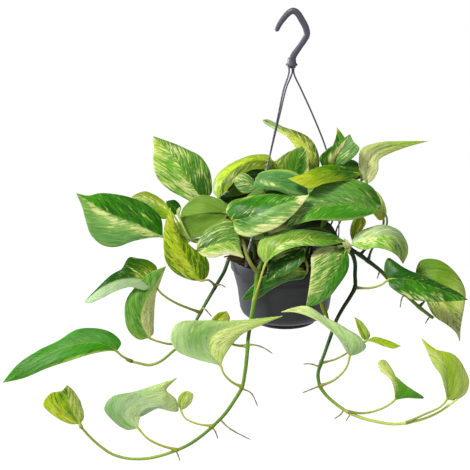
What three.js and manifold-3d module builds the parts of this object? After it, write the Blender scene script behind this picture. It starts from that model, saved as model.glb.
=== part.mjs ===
// A variegated pothos in a hanging nursery pot: a plastic pot on a three-armed hanger, filled with soil,
// with four long vines that trail over its rim and a crown of short leafy shoots.
// Millimetres, +Z up. The origin is where the hook bears on the rail that holds it; -Y faces the viewer.

import * as THREE from "three";
import { mergeVertices } from "three/addons/utils/BufferGeometryUtils.js";
import Module from "manifold-3d";

const wasm = await Module();
wasm.setup();

// Pot
const POT_AXIS_X = -5.5; // the pot hangs a little to the left of the hook's bearing point
const RIM_Z = -290; // top of the rim, below the hook's bearing point
const RIM_RADIUS = 66.3; // a 13 cm pot
const WALL = 1.4;
const FLANGE_THICKNESS = 2;
const SKIRT_DEPTH = 14;
const SKIRT_DRAFT = 0.7; // the skirt is this much narrower at its lower edge
const CHAMFER = 0.6;
const POT_SIDES = 30;
// Outside of the wall from the flange down: [radius, depth below the rim].
const WALL_OUTSIDE = [
  [62.6, 2],
  [62.2, 21],
  [60.2, 28],
  [57.6, 39],
  [55.4, 57],
  [54.3, 64],
  [52, 69],
  [48.2, 72.4],
  [42, 75],
];
const BOTTOM_DEPTH = 70; // below this the wall turns under as the bottom
const FOOT_RADIUS = 38.6;
const FOOT_INSIDE = 30;
const POT_DEPTH = 80.5;
const FOOT_RISE = 3; // the floor inside the foot ring stands this far above the ring
const DRAIN_HOLES = 6;
const DRAIN_RADIUS = 3;
const DRAIN_CIRCLE = 18;

// Soil
const SOIL_DEPTH = 10; // its surface lies this far below the rim
const SOIL_RINGS = [54, 37, 19, 0]; // radii of its surface's rows of points
const SOIL_EDGE_DROP = 1.5;
const SOIL_DOME = 4;
const SOIL_BUMPS = 1.3;
const ROOTED = 14; // a stem stands this deep in its hole in the soil
const HOLE_GAP = 0.6;

// Hanger
const HOOK_TIP_HALF = 2.7; // half the bar's width at the hook's tip
const HOOK_FLARE_START = 0.75; // the bar swells toward the collar from this share of its length
const COLLAR_X = -0.5;
const COLLAR_BOTTOM = -62;
const COLLAR_RADIUS = 6.8;
// Each arm's direction from the pot's axis, in degrees from +X, and how far it bows outward
const ARMS = {
  right: { degrees: 0, bow: 16 },
  back_left: { degrees: 134, bow: 1 },
  front_left: { degrees: 222, bow: 1 },
};
const ARM_TOP_CIRCLE = 2.5; // the arms' tops stand on this radius in the collar
const ARM_SUNK = 5; // and reach this far up into it
const ARM_TOP_HALF = 1; // half the arm's thickness in the collar
const ARM_LOW_HALF_WIDTH = 2.4;
const ARM_LOW_HALF_DEPTH = 0.7;
const ARM_CIRCLE = 63.3; // the arms pass through the flange on this radius
const BARB_OVERHANG = 1.5;
const BARB_HEIGHT = 2;
const FIT_GAP = 0.3;
const BORE_GAP = 0.65;

// Plant
const BLADE_THICKNESS = 1;
const BULGE = 0.07; // how far each half of a blade bulges, as a share of its width
const LOBE = 0.13; // how far the lobes reach back past the leafstalk, as a share of the blade's length
const LEAFSTALK_RADIUS = 1.5;
const STEM_SIDES = 5;
const STALK_SIDES = 4;

// The front view. The eye is 1.6 m off and 17 degrees above the pot, and looks at a picture of 470 squares
// a side, counted from its top left corner. A square is 1.2 mm at the pot's distance.
// A place is [squares right, squares down, mm in front of the pot's axis].
const EYE_DISTANCE = 1600;
const EYE_ELEVATION = THREE.MathUtils.degToRad(17);
const PICTURE_MIDDLE = 235;
const SQUARE = 1.2;
const PICTURE_CENTRE = new THREE.Vector3(-66, 0, -264);

const vec = (x, y, z) => new THREE.Vector3(x, y, z);
const rad = THREE.MathUtils.degToRad;

// The point that shows at (right, down) in the front view and lies `front` mm nearer than the pot's axis.
function seen([right, down, front]) {
  const across = (right - PICTURE_MIDDLE) * SQUARE;
  const up = (PICTURE_MIDDLE - down) * SQUARE;
  const cos = Math.cos(EYE_ELEVATION);
  const sin = Math.sin(EYE_ELEVATION);
  const sight = vec(across, EYE_DISTANCE * cos + up * sin, -EYE_DISTANCE * sin + up * cos);
  const eye = vec(0, -EYE_DISTANCE * cos, EYE_DISTANCE * sin).add(PICTURE_CENTRE);
  return eye.addScaledVector(sight, (EYE_DISTANCE * cos - front) / sight.y);
}

// Solids and geometries

function solidOf(geometry) {
  const plain = geometry.clone();
  plain.deleteAttribute("normal");
  plain.deleteAttribute("uv");
  const merged = mergeVertices(plain, 1e-4);
  return new wasm.Manifold(
    new wasm.Mesh({
      numProp: 3,
      vertProperties: new Float32Array(merged.attributes.position.array),
      triVerts: new Uint32Array(merged.index.array),
    }),
  );
}

function geometryOf(solid) {
  const mesh = solid.getMesh();
  return new THREE.BufferGeometry()
    .setAttribute("position", new THREE.BufferAttribute(new Float32Array(mesh.vertProperties), 3))
    .setIndex(new THREE.BufferAttribute(new Uint32Array(mesh.triVerts), 1));
}

function geometryFrom(points, triangles) {
  return new THREE.BufferGeometry()
    .setAttribute("position", new THREE.Float32BufferAttribute(points.flatMap((p) => [p.x, p.y, p.z]), 3))
    .setIndex(triangles);
}

// A closed tube along a curve. section(t) gives its half width across `flatAxis` and along it.
function tube(curve, steps, sides, section, flatAxis = null) {
  const frames = curve.computeFrenetFrames(steps);
  const points = [];
  const triangles = [];
  for (let i = 0; i <= steps; i++) {
    const t = i / steps;
    const centre = curve.getPointAt(t);
    const [across, along] = section(t);
    const wide = flatAxis ? flatAxis.clone() : frames.normals[i];
    const deep = vec().crossVectors(frames.tangents[i], wide).normalize();
    for (let j = 0; j < sides; j++) {
      const angle = (2 * Math.PI * (j + 0.5)) / sides;
      points.push(
        centre
          .clone()
          .addScaledVector(wide, along * Math.cos(angle))
          .addScaledVector(deep, across * Math.sin(angle)),
      );
    }
  }
  for (let i = 0; i < steps; i++) {
    for (let j = 0; j < sides; j++) {
      const a = i * sides + j;
      const b = i * sides + ((j + 1) % sides);
      triangles.push(a, b, a + sides, b, b + sides, a + sides);
    }
  }
  const start = points.length;
  points.push(curve.getPointAt(0), curve.getPointAt(1));
  for (let j = 0; j < sides; j++) {
    const k = (j + 1) % sides;
    triangles.push(start, k, j, start + 1, steps * sides + j, steps * sides + k);
  }
  return geometryFrom(points, triangles);
}

function lathe(profile, sides) {
  const geometry = new THREE.LatheGeometry(
    profile.map(([r, z]) => new THREE.Vector2(r, z)),
    sides,
  );
  return geometry.rotateX(Math.PI / 2);
}

function mesh(name, geometry, material) {
  const made = new THREE.Mesh(geometry, material);
  made.name = name;
  return made;
}

const material = (color, roughness) => new THREE.MeshStandardMaterial({ color, roughness, metalness: 0 });
const POT_PLASTIC = material(0x3a3b40, 0.45);
const HANGER_PLASTIC = material(0x4a4a52, 0.5);
const SOIL = material(0x3a2a1e, 1);
const FOLIAGE = material(0x5f9a3a, 0.5);

// Pot: flange and skirt at the rim, a wall that narrows to a rounded bottom, and a low foot ring

// The inside of the wall, set `gap` further in than the wall's own thickness, from the rim down.
const wallInside = (gap) =>
  WALL_OUTSIDE.map(([r, depth]) => [r - WALL - gap, -depth + (depth > BOTTOM_DEPTH ? WALL + gap : 0)]);

function pot() {
  const floor = -POT_DEPTH + FOOT_RISE;
  const outside = WALL_OUTSIDE.map(([r, depth]) => [r, -depth]);
  const inside = wallInside(0);
  const profile = [
    [0, floor],
    [FOOT_INSIDE, floor],
    [FOOT_INSIDE, -POT_DEPTH],
    [FOOT_RADIUS, -POT_DEPTH],
    [FOOT_RADIUS, outside.at(-1)[1]],
    ...outside.reverse(),
    [RIM_RADIUS - WALL, -FLANGE_THICKNESS],
    [RIM_RADIUS - WALL - SKIRT_DRAFT, -SKIRT_DEPTH],
    [RIM_RADIUS - SKIRT_DRAFT, -SKIRT_DEPTH],
    [RIM_RADIUS, -CHAMFER],
    [RIM_RADIUS - CHAMFER, 0],
    [inside[0][0], 0],
    ...inside,
    [0, inside.at(-1)[1]],
  ];
  let solid = solidOf(lathe(profile, POT_SIDES));
  for (let i = 0; i < DRAIN_HOLES; i++) {
    const angle = (2 * Math.PI * i) / DRAIN_HOLES;
    const hole = new THREE.CylinderGeometry(DRAIN_RADIUS, DRAIN_RADIUS, 12, 10)
      .rotateX(Math.PI / 2)
      .translate(DRAIN_CIRCLE * Math.cos(angle), DRAIN_CIRCLE * Math.sin(angle), floor);
    solid = solid.subtract(solidOf(hole));
  }
  for (const { degrees } of Object.values(ARMS)) {
    const slot = new THREE.BoxGeometry(
      2 * (ARM_LOW_HALF_DEPTH + FIT_GAP),
      2 * (ARM_LOW_HALF_WIDTH + FIT_GAP),
      3 * FLANGE_THICKNESS,
    )
      .translate(ARM_CIRCLE, 0, 0)
      .rotateZ(rad(degrees));
    solid = solid.subtract(solidOf(slot));
  }
  const made = mesh("pot", geometryOf(solid), POT_PLASTIC);
  made.position.set(POT_AXIS_X, 0, RIM_Z);
  return made;
}

// Height of the soil's surface above its nominal level: a dome with lumps
function soilRelief(x, y) {
  const dome = SOIL_DOME * (1 - (x * x + y * y) / RIM_RADIUS ** 2);
  const lumps = Math.sin(x * 0.31 + 1.3) * Math.cos(y * 0.27) + 0.6 * Math.sin(x * 0.17 - y * 0.41);
  return dome + SOIL_BUMPS * lumps;
}

function soil(stems) {
  const side = wallInside(FIT_GAP).filter(([, z]) => z < -SOIL_DEPTH);
  const top = SOIL_RINGS.map((r) => [r, -SOIL_DEPTH]);
  const edge = [side[0][0] + 0.4, -SOIL_DEPTH - SOIL_EDGE_DROP];
  const bottom = side.at(-1)[1];
  const body = lathe([[0, bottom], ...side.reverse(), edge, ...top], POT_SIDES);
  const position = body.attributes.position;
  for (let i = 0; i < position.count; i++) {
    const [x, y, z] = [position.getX(i), position.getY(i), position.getZ(i)];
    if (Math.abs(z + SOIL_DEPTH) < 1e-6) position.setZ(i, z + soilRelief(x, y));
  }
  let solid = solidOf(body);
  for (const { root, radius } of stems) {
    const length = 2 * (ROOTED + HOLE_GAP);
    const hole = new THREE.CylinderGeometry(radius + HOLE_GAP, radius + HOLE_GAP, length, 8)
      .rotateX(Math.PI / 2)
      .translate(root[0], -root[1], -SOIL_DEPTH);
    solid = solid.subtract(solidOf(hole));
  }
  const made = mesh("soil", geometryOf(solid), SOIL);
  made.position.set(POT_AXIS_X, 0, RIM_Z);
  return made;
}

// Hanger: a hook that swells into a collar, and three arms that go from the collar through the flange

const HOOK_LINE = [
  [-19, -20],
  [-14.5, -11],
  [-8, -2.2],
  [-3.5, 2],
  [0.5, 3.6],
  [5, 1.2],
  [10.5, -7],
  [15.4, -16.5],
  [16.4, -24],
  [12.6, -31.5],
  [6.8, -40],
  [1.5, -48],
  [-0.3, -54],
  [COLLAR_X, -60],
];

function hook() {
  const line = new THREE.CatmullRomCurve3(HOOK_LINE.map(([x, z]) => vec(x, 0, z)));
  const belly = (t) => Math.sin(Math.PI * Math.min(1, t * 1.1));
  const flare = (t) => Math.max(0, t - HOOK_FLARE_START) / (1 - HOOK_FLARE_START);
  const halfWidth = (t) => HOOK_TIP_HALF + 1.1 * belly(t) + 1.9 * flare(t);
  const bar = tube(line, 24, 8, (t) => [halfWidth(t), 0.8 * halfWidth(t)], vec(0, 1, 0));
  const collar = lathe(
    [
      [0, -2.5],
      [4.6, -2.5],
      [5, 0],
      [COLLAR_RADIUS, 0.4],
      [COLLAR_RADIUS, 2],
      [5.4, 2.8],
      [4.6, 9],
      [0, 9],
    ],
    16,
  ).translate(COLLAR_X, 0, COLLAR_BOTTOM + 2.5);
  let solid = solidOf(bar).add(solidOf(collar));
  for (const { degrees } of Object.values(ARMS)) {
    const bore = new THREE.CylinderGeometry(ARM_TOP_HALF + BORE_GAP, ARM_TOP_HALF + BORE_GAP, 12, 8)
      .rotateX(Math.PI / 2)
      .translate(ARM_TOP_CIRCLE, 0, 0)
      .rotateZ(rad(degrees))
      .translate(COLLAR_X, 0, COLLAR_BOTTOM);
    solid = solid.subtract(solidOf(bore));
  }
  return mesh("hook", geometryOf(solid), HANGER_PLASTIC);
}

function arm(name, { degrees, bow }) {
  const angle = rad(degrees);
  const out = vec(Math.cos(angle), Math.sin(angle), 0);
  const across = vec(-Math.sin(angle), Math.cos(angle), 0);
  const top = out.clone().multiplyScalar(ARM_TOP_CIRCLE).add(vec(COLLAR_X, 0, COLLAR_BOTTOM + ARM_SUNK));
  const low = out.clone().multiplyScalar(ARM_CIRCLE).add(vec(POT_AXIS_X, 0, RIM_Z));
  const bowed = (t, share) => top.clone().lerp(low, t).addScaledVector(out, bow * share);
  const line = new THREE.CatmullRomCurve3([
    top,
    top.clone().add(vec(0, 0, -4)),
    top.clone().add(vec(0, 0, -11)),
    bowed(0.13, 0.1),
    bowed(0.26, 0.52),
    bowed(0.43, 0.93),
    bowed(0.62, 1),
    bowed(0.82, 0.66),
    low.clone().add(vec(0, 0, 9)),
    low.clone().add(vec(0, 0, -FLANGE_THICKNESS - 1)),
  ]);
  const widen = (t) => THREE.MathUtils.smoothstep(t, 0.35, 0.8);
  const strip = tube(
    line,
    16,
    6,
    (t) => [
      THREE.MathUtils.lerp(ARM_TOP_HALF, ARM_LOW_HALF_DEPTH, widen(t)),
      THREE.MathUtils.lerp(ARM_TOP_HALF, ARM_LOW_HALF_WIDTH, widen(t)),
    ],
    across,
  );
  const barb = new THREE.BoxGeometry(
    2 * ARM_LOW_HALF_DEPTH,
    2 * (ARM_LOW_HALF_WIDTH + BARB_OVERHANG),
    BARB_HEIGHT,
  )
    .translate(0, 0, -FLANGE_THICKNESS - FIT_GAP - BARB_HEIGHT / 2)
    .rotateZ(angle)
    .translate(low.x, low.y, low.z);
  return mesh(name, geometryOf(solidOf(strip).add(solidOf(barb))), HANGER_PLASTIC);
}

// Leaves

const ROWS = [0, 0.08, 0.24, 0.44, 0.66, 0.86, 1];
const COLUMNS = [-1, -0.5, 0, 0.5, 1];

const through = (points) => new THREE.CatmullRomCurve3(points, false, "centripetal");

// Half-width of a blade drawn from its length and width, as a share of the greatest: broad near the base,
// drawn to a point at the tip.
const taper = (s) => Math.sin(Math.PI * s ** 0.6) ** 0.9 * (1 - 0.35 * s ** 4);

// Midrib and both margins of a blade, base to tip. A leaf in the front view gives them as places. A leaf at
// the back gives its base, tip and width, and the way its upper side faces: [right, front, up].
function leafCurves(leaf) {
  if (leaf.rib) {
    const rib = leaf.rib.map(seen);
    const margin = (places) => through([rib[0].clone(), ...places.map(seen), rib.at(-1).clone()]);
    return { rib: through(rib), left: margin(leaf.left), right: margin(leaf.right) };
  }
  const base = seen(leaf.base);
  const chord = seen(leaf.tip).sub(base);
  const forward = chord.clone().normalize();
  const [right, front, up] = leaf.face;
  const face = vec(right, -front, up);
  face.addScaledVector(forward, -face.dot(forward)).normalize();
  const side = vec().crossVectors(forward, face);
  const place = (s, w) =>
    base
      .clone()
      .addScaledVector(chord, s - LOBE * (1 - s) ** 3 * Math.abs(w))
      .addScaledVector(face, leaf.arch * 4 * s * (1 - s) + (leaf.rise ?? 0.2) * Math.abs(w) * half(s))
      .addScaledVector(side, w * half(s));
  const half = (s) => (leaf.width / 2) * taper(s);
  const line = (w) => through([0, 0.04, 0.15, 0.35, 0.6, 0.82, 1].map((s) => place(s, w)));
  return { rib: line(0), left: line(-1), right: line(1) };
}

// The blade as a thin closed sheet: rows of points from margin to margin, joined at the base and tip, with
// both faces split into triangles alike. Each half bulges a little between midrib and margin.
function bladeGeometry(leaf) {
  const { rib, left, right } = leafCurves(leaf);
  const points = [];
  const rows = ROWS.map((s, i) => {
    const middle = rib.getPointAt(s);
    const columns = i === 0 || i === ROWS.length - 1 ? [0] : COLUMNS;
    return columns.map((w) => {
      const margin = (w < 0 ? left : right).getPointAt(s);
      return points.push(middle.clone().lerp(margin, Math.abs(w))) - 1;
    });
  });
  const faces = [];
  const last = COLUMNS.length - 1;
  for (let j = 0; j < last; j++) {
    faces.push([rows[0][0], rows[1][j + 1], rows[1][j]]);
    faces.push([rows.at(-1)[0], rows.at(-2)[j], rows.at(-2)[j + 1]]);
    for (let i = 1; i < rows.length - 2; i++) {
      const [a, b] = [rows[i][j], rows[i][j + 1]];
      const [c, d] = [rows[i + 1][j], rows[i + 1][j + 1]];
      faces.push(...(j < last / 2 ? [[a, b, d], [a, d, c]] : [[a, b, c], [b, d, c]]));
    }
  }
  const sheet = geometryFrom(points, faces.flat());
  sheet.computeVertexNormals();
  const normals = points.map((_, i) => vec().fromBufferAttribute(sheet.attributes.normal, i));
  for (const row of rows.slice(1, -1)) {
    for (const [inner, outer] of [
      [row[1], row[0]],
      [row[3], row[4]],
    ]) {
      const half = points[row[2]].distanceTo(points[outer]);
      points[inner].addScaledVector(normals[inner], BULGE * half);
    }
  }
  const count = points.length;
  const upper = points.map((p, i) => p.clone().addScaledVector(normals[i], BLADE_THICKNESS / 2));
  const lower = points.map((p, i) => p.clone().addScaledVector(normals[i], -BLADE_THICKNESS / 2));
  const triangles = faces.flatMap(([a, b, c]) => [a, b, c, a + count, c + count, b + count]);
  const rim = (a, b) => triangles.push(a, a + count, b, b, a + count, b + count);
  for (let i = 0; i < rows.length - 1; i++) {
    rim(rows[i + 1][0], rows[i][0]);
    rim(rows[i].at(-1), rows[i + 1].at(-1));
  }
  return geometryFrom([...upper, ...lower], triangles);
}

// A leafstalk: out of the stem, through its own places, up under the blade, and on as the midrib's ridge.
function stalkGeometry(leaf, stem) {
  const { rib, left, right } = leafCurves(leaf);
  const start = nearest(stem, seen(leaf.from));
  const across = right.getPointAt(0.3).sub(left.getPointAt(0.3));
  const under = vec().crossVectors(rib.getTangentAt(0.1), across).normalize().multiplyScalar(0.5);
  const ridge = [0.01, 0.14].map((s) => rib.getPointAt(s).add(under));
  const line = through([start, ...(leaf.via ?? []).map(seen), ...ridge]);
  const steps = Math.max(4, Math.min(8, Math.round(line.getLength() / 18)));
  const thick = leaf.stalk ?? LEAFSTALK_RADIUS;
  return tube(line, steps, STALK_SIDES, (t) => {
    const r = thick * (1 - 0.6 * t * t);
    return [r, r];
  });
}

function nearest(curve, place) {
  let best = curve.getPoint(0);
  for (let i = 1; i <= 200; i++) {
    const p = curve.getPoint(i / 200);
    if (p.distanceTo(place) < best.distanceTo(place)) best = p;
  }
  return best;
}

// An aerial root: a thin spike from the stem to a place beside it.
function rootGeometry(places, stem) {
  const points = places.map(seen);
  const line = new THREE.CatmullRomCurve3([nearest(stem, points[0]), ...points]);
  return tube(line, 3, 3, (t) => [0.9 - 0.45 * t, 0.9 - 0.45 * t]);
}

function stemLine({ root, path }) {
  const foot = vec(POT_AXIS_X + root[0], -root[1], RIM_Z - SOIL_DEPTH);
  return new THREE.CatmullRomCurve3(
    [
      ...[-ROOTED, -ROOTED / 2, 0, 7].map((up) => foot.clone().add(vec(0, 0, up))),
      ...path.map(seen),
    ],
    false,
    "centripetal",
  );
}

function shootSolid(shoot) {
  const line = stemLine(shoot);
  const steps = Math.max(6, Math.round(line.getLength() / 17));
  const end = shoot.end ?? 0.55;
  const stem = tube(line, steps, STEM_SIDES, (t) => {
    const r = shoot.radius * (1 - (1 - end) * t);
    return [r, r];
  });
  let solid = solidOf(stem);
  for (const leaf of Object.values(shoot.leaves)) {
    solid = solid.add(solidOf(stalkGeometry(leaf, line))).add(solidOf(bladeGeometry(leaf)));
  }
  for (const places of shoot.roots ?? []) {
    solid = solid.add(solidOf(rootGeometry(places, line)));
  }
  return solid.simplify(0.05).decompose().sort((a, b) => b.volume() - a.volume())[0];
}

// Shoots. root is [mm right, mm in front] of the pot's axis; every other place is read in the front view.
// Left and right margins are as the leaf's upper side shows them, tip ahead.
const SHOOTS = {
  vine_left: {
    root: [-40, 22],
    radius: 2.6,
    path: [
      [243, 246, 16],
      [235, 250, 15],
      [229, 259, 18],
      [224, 272, 28],
      [217, 284, 40],
      [207, 301, 51],
      [198, 317, 59],
      [190, 332, 64],
      [181, 344, 68],
      [172, 352, 70],
      [161, 361, 72],
      [150, 365, 73],
      [138, 363, 73],
      [126, 360, 73],
    ],
    leaves: {
      yellow: {
        from: [217, 284, 52],
        via: [[208, 280, 57]],
        rib: [[200, 281, 56], [190, 264, 56], [178, 240, 52], [170, 207, 46]],
        left: [[190, 280, 60], [175, 273, 62], [166.5, 262, 60], [165, 246, 56], [166, 228, 50]],
        right: [
          [207, 277, 50],
          [209, 264, 46],
          [204, 255, 44],
          [191, 247, 44],
          [181, 238, 44],
          [174, 222, 45],
        ],
      },
      shade: {
        from: [199, 312, 60],
        via: [[176, 303, 62], [162, 294, 64]],
        rib: [[153, 283, 66], [138, 279, 72], [120, 280, 80], [103, 287, 88], [84, 302, 94]],
        left: [[146, 290, 76], [130, 287, 84], [115, 291.5, 92], [100, 299, 98], [90, 303, 98]],
        right: [
          [157, 267, 50],
          [149, 261, 48],
          [138, 258.5, 50],
          [129, 257.5, 54],
          [124, 267, 62],
          [112, 274.5, 74],
        ],
      },
      hanging: {
        from: [185, 341, 67],
        via: [[172, 344, 72], [160, 342, 74]],
        rib: [[149, 338, 74], [141, 322, 78], [145, 302, 76], [155, 285, 70], [166, 266, 66]],
        left: [
          [139, 339.5, 78],
          [128, 330, 80],
          [124.5, 315, 80],
          [126, 300, 78],
          [135, 287, 74],
          [150, 273, 70],
        ],
        right: [[153.5, 333, 66], [154, 317, 62], [155, 300, 60], [160, 283, 60]],
      },
      pointer: {
        from: [132, 361, 73],
        via: [[122, 356, 74]],
        rib: [[117, 351, 74], [98, 343, 80], [66, 347, 90], [34, 362, 98], [2, 383, 104]],
        left: [[108, 351, 82], [92, 354, 90], [72, 360, 98], [48, 368, 104], [24, 378, 106]],
        right: [
          [121, 343, 66],
          [113, 333.5, 62],
          [96, 328, 60],
          [79, 329, 66],
          [58, 341, 76],
          [38, 350.5, 86],
          [18, 364, 96],
        ],
      },
    },
    roots: [
      [[222, 285, 54], [226, 288, 56]],
      [[205, 309, 60], [212, 317, 62]],
    ],
  },
  vine_front: {
    root: [-20, 38],
    radius: 2.7,
    path: [
      [268, 252, 44],
      [265, 256, 54],
      [261, 264, 64],
      [257, 275, 69],
      [256, 289, 73],
      [254, 303, 77],
      [251, 320, 82],
      [248, 340, 90],
      [247, 355, 97],
      [245, 372, 104],
      [242, 387, 109],
      [234, 401, 113],
      [224, 415, 117],
      [213, 426, 120],
      [200, 437, 122],
      [188, 445, 123],
      [177, 450, 123],
      [163, 455, 122],
      [150, 458, 120],
      [137, 459, 117],
      [125, 458, 114],
      [112, 454, 111],
      [100, 446, 108],
      [90, 437, 106],
      [81, 427, 104],
    ],
    leaves: {
      rim: {
        from: [254, 301, 86],
        via: [[259, 284, 92]],
        rib: [[265, 264, 92], [280, 246, 94], [302, 239, 88], [326, 240, 76], [346, 241.5, 64]],
        left: [
          [257.5, 253, 88],
          [260, 241, 80],
          [273, 233.5, 74],
          [291, 229, 68],
          [310, 230.5, 62],
          [330, 233.5, 58],
        ],
        right: [[269, 260, 99], [283, 251, 100], [301, 246, 95], [325, 246, 82]],
      },
      fan: {
        from: [257, 272, 82],
        via: [[250, 263, 75], [242, 250, 74], [238, 236, 66]],
        rib: [[233, 222, 58], [224, 229, 68], [210, 239, 76], [196, 250, 78]],
        left: [[239, 231, 60], [240, 244, 68], [232, 255, 76], [217, 258, 80], [204, 256, 80]],
        right: [[228, 218.5, 54], [217, 221, 58], [206, 227, 66], [198, 238, 73]],
      },
      pale: {
        from: [242, 387, 109],
        via: [[232, 382, 115], [224, 374, 119]],
        rib: [[221, 366, 119], [209, 350, 115], [213, 335, 108], [238, 325, 99], [283, 316, 88]],
        left: [
          [213, 363.5, 123],
          [196, 359, 124],
          [177, 351, 122],
          [170, 337, 116],
          [176, 324, 108],
          [196, 320, 102],
          [222, 323, 97],
          [250, 320, 92],
        ],
        right: [[224, 357, 112], [232, 345, 105], [243, 334, 100], [262, 325, 94]],
      },
      bud: {
        from: [248, 346, 95],
        via: [[235, 345, 86], [220, 338, 80]],
        rib: [[213, 327, 80], [218, 319, 84], [227, 311, 84]],
        left: [[211, 321, 84], [218, 313, 86]],
        right: [[223, 327, 80], [230, 319, 80]],
      },
      opening: {
        from: [81, 427, 104],
        rib: [[80, 424, 105], [70, 408, 109], [67, 385, 106]],
        left: [[70, 424, 112], [54, 416, 116], [43, 404, 114], [51, 393, 110], [61, 391, 107]],
        right: [[84, 417, 100], [80, 401, 97], [73, 390, 101]],
      },
      grey: {
        from: [177, 450, 123],
        via: [[160, 445, 128], [147, 438, 131]],
        rib: [[138, 428, 130], [125, 413, 128], [138, 400, 120], [157, 389, 110], [177, 378, 98]],
        left: [
          [127, 430, 134],
          [113, 421, 134],
          [104, 408, 130],
          [113, 396, 122],
          [130, 393, 114],
          [152, 386, 104],
        ],
        right: [
          [140, 418, 124],
          [147, 414, 118],
          [160, 408, 112],
          [178, 411, 106],
          [176, 399, 102],
          [166, 391, 102],
        ],
      },
      small: {
        from: [213, 426, 120],
        via: [[198, 424, 122], [185, 418, 122]],
        rib: [[181, 410, 121], [181, 400, 121], [188, 391, 119]],
        left: [[178, 405, 123], [178.5, 397, 122], [183, 392, 120]],
        right: [[186, 408, 119], [192, 401, 117], [193, 394, 117]],
        stalk: 1.2,
      },
    },
    roots: [
      [[255, 345, 96], [264, 348, 98], [273, 354, 100]],
      [[251, 393, 112], [258, 407, 114]],
      [[229, 428, 122], [251, 440, 124]],
      [[215, 431, 122], [218, 439, 123]],
      [[178, 455, 125], [180, 461, 126]],
    ],
  },
  vine_right: {
    root: [40, 20],
    radius: 2.7,
    path: [
      [328, 248, 26],
      [337, 247, 27],
      [346, 249, 29],
      [352, 254, 32],
      [355, 263, 35],
      [355, 275, 39],
      [355, 287, 43],
      [350, 297, 50],
      [343, 308, 58],
      [336, 321, 66],
      [330, 338, 75],
      [325, 352, 82],
      [321, 363, 86],
      [318, 374, 90],
      [320, 386, 94],
      [326, 395, 97],
      [336, 404, 100],
      [348, 412, 102],
      [362, 418, 103],
      [378, 422, 103],
      [393, 424, 102],
      [406, 423, 101],
      [420, 420, 99],
      [433, 415, 97],
      [445, 408, 96],
      [457, 399, 95],
    ],
    leaves: {
      cream: {
        from: [337, 247, 27],
        via: [[343, 246, 35]],
        rib: [[351, 245, 40], [370, 238, 46], [389, 236, 46], [400, 246, 40], [403, 264, 34]],
        left: [
          [355, 236, 30],
          [367, 228, 26],
          [383, 225, 24],
          [398, 230, 24],
          [407, 242, 26],
          [407.5, 254, 30],
        ],
        right: [[362, 249.5, 50], [378, 248, 56], [391, 251.5, 54], [399, 258, 44]],
      },
      marbled: {
        from: [346, 249, 29],
        via: [[350, 247, 44]],
        rib: [[346, 250, 60], [338, 268, 78], [324, 290, 91], [306, 306, 94]],
        left: [[349, 258, 62], [347.5, 271, 72], [339, 285, 83], [328, 298, 91], [316, 305, 94]],
        right: [[334, 246, 64], [320, 247, 72], [311.5, 255, 79], [311, 272, 88], [309, 288, 93]],
      },
      dark: {
        from: [355, 288, 43],
        via: [[370, 288, 50], [381, 285, 54]],
        rib: [[389, 279, 56], [410, 280, 60], [438, 289, 58], [468, 300, 50]],
        left: [
          [384, 270, 48],
          [388, 258, 42],
          [400, 266, 42],
          [420, 274, 42],
          [443, 285, 44],
          [458, 292, 46],
        ],
        right: [[389, 285, 62], [397, 292, 68], [410, 299, 70], [428, 301.5, 68], [450, 301.5, 60]],
      },
      young: {
        from: [321, 363, 86],
        via: [[336, 359, 84], [352, 350, 80]],
        rib: [[367, 340, 78], [385, 343, 80], [401, 346, 80]],
        left: [[374, 337, 74], [386, 339.5, 76]],
        right: [[374, 342.5, 82], [393, 348.5, 84]],
        stalk: 1.2,
      },
      rolled: {
        from: [321, 363, 86],
        via: [[336, 359, 84], [352, 350, 80], [362, 343, 78]],
        rib: [[367, 341, 77], [362, 330, 76], [354.5, 317, 76]],
        left: [[362, 338, 80], [358, 329, 80]],
        right: [[370, 335, 72], [362, 322, 72]],
        stalk: 1.2,
      },
      arrow: {
        from: [320, 386, 94],
        via: [[334, 380, 101], [346, 368, 107]],
        rib: [[350, 356, 107], [346, 342, 110], [328, 326, 110], [305, 311.5, 110], [281, 312, 112]],
        left: [[346, 351, 112], [337, 337, 116], [322, 323.5, 116], [306, 315.5, 114], [293, 312, 113]],
        right: [
          [357, 354, 100],
          [366, 347, 96],
          [360, 337, 96],
          [346, 328, 100],
          [326, 317.5, 102],
          [307, 306, 106],
          [292, 308, 110],
        ],
      },
      twisted: {
        from: [348, 412, 102],
        via: [[365, 413, 105], [383, 408, 107]],
        rib: [[395, 400, 107], [396, 384, 107], [380, 360, 100]],
        left: [[394, 389, 111], [390, 379, 110], [380, 370, 106], [377.5, 363, 102]],
        right: [
          [408, 398, 102],
          [424, 398, 98],
          [409, 389, 100],
          [399, 382, 102],
          [392, 369, 100],
          [385, 360, 99],
        ],
      },
      last: {
        from: [406, 423, 101],
        via: [[425, 414, 102], [440, 407, 101]],
        rib: [[447, 400, 100], [447, 380, 102], [444, 362, 100], [421, 338, 92]],
        left: [[445, 390, 106], [441, 376, 108], [433, 364, 106], [427, 351, 100]],
        right: [
          [456, 400, 92],
          [466, 393, 86],
          [468.5, 380, 84],
          [463, 365, 86],
          [452, 353.5, 90],
          [438, 351, 93],
        ],
      },
    },
    roots: [
      [[311, 364, 90], [303, 364, 92]],
      [[312, 389, 97], [302, 393, 99]],
      [[341, 414, 104], [334, 419, 106]],
      [[349, 416, 103], [346, 421, 104]],
    ],
  },
  vine_far_right: {
    root: [46, 2],
    radius: 2.7,
    path: [
      [334, 245, 7],
      [343, 243, 9],
      [352, 250, 10],
      [360, 255, 10],
      [368, 261, 10],
      [376, 267, 9],
      [383, 273, 8],
      [390, 281, 7],
      [398, 288, 6],
      [408, 297, 5],
      [419, 307, 4],
      [433, 318, 3],
    ],
    leaves: {
      great: {
        from: [368, 261, 10],
        via: [[372, 249, 13], [382, 236, 14], [387, 223, 18], [385, 214, 25]],
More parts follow.
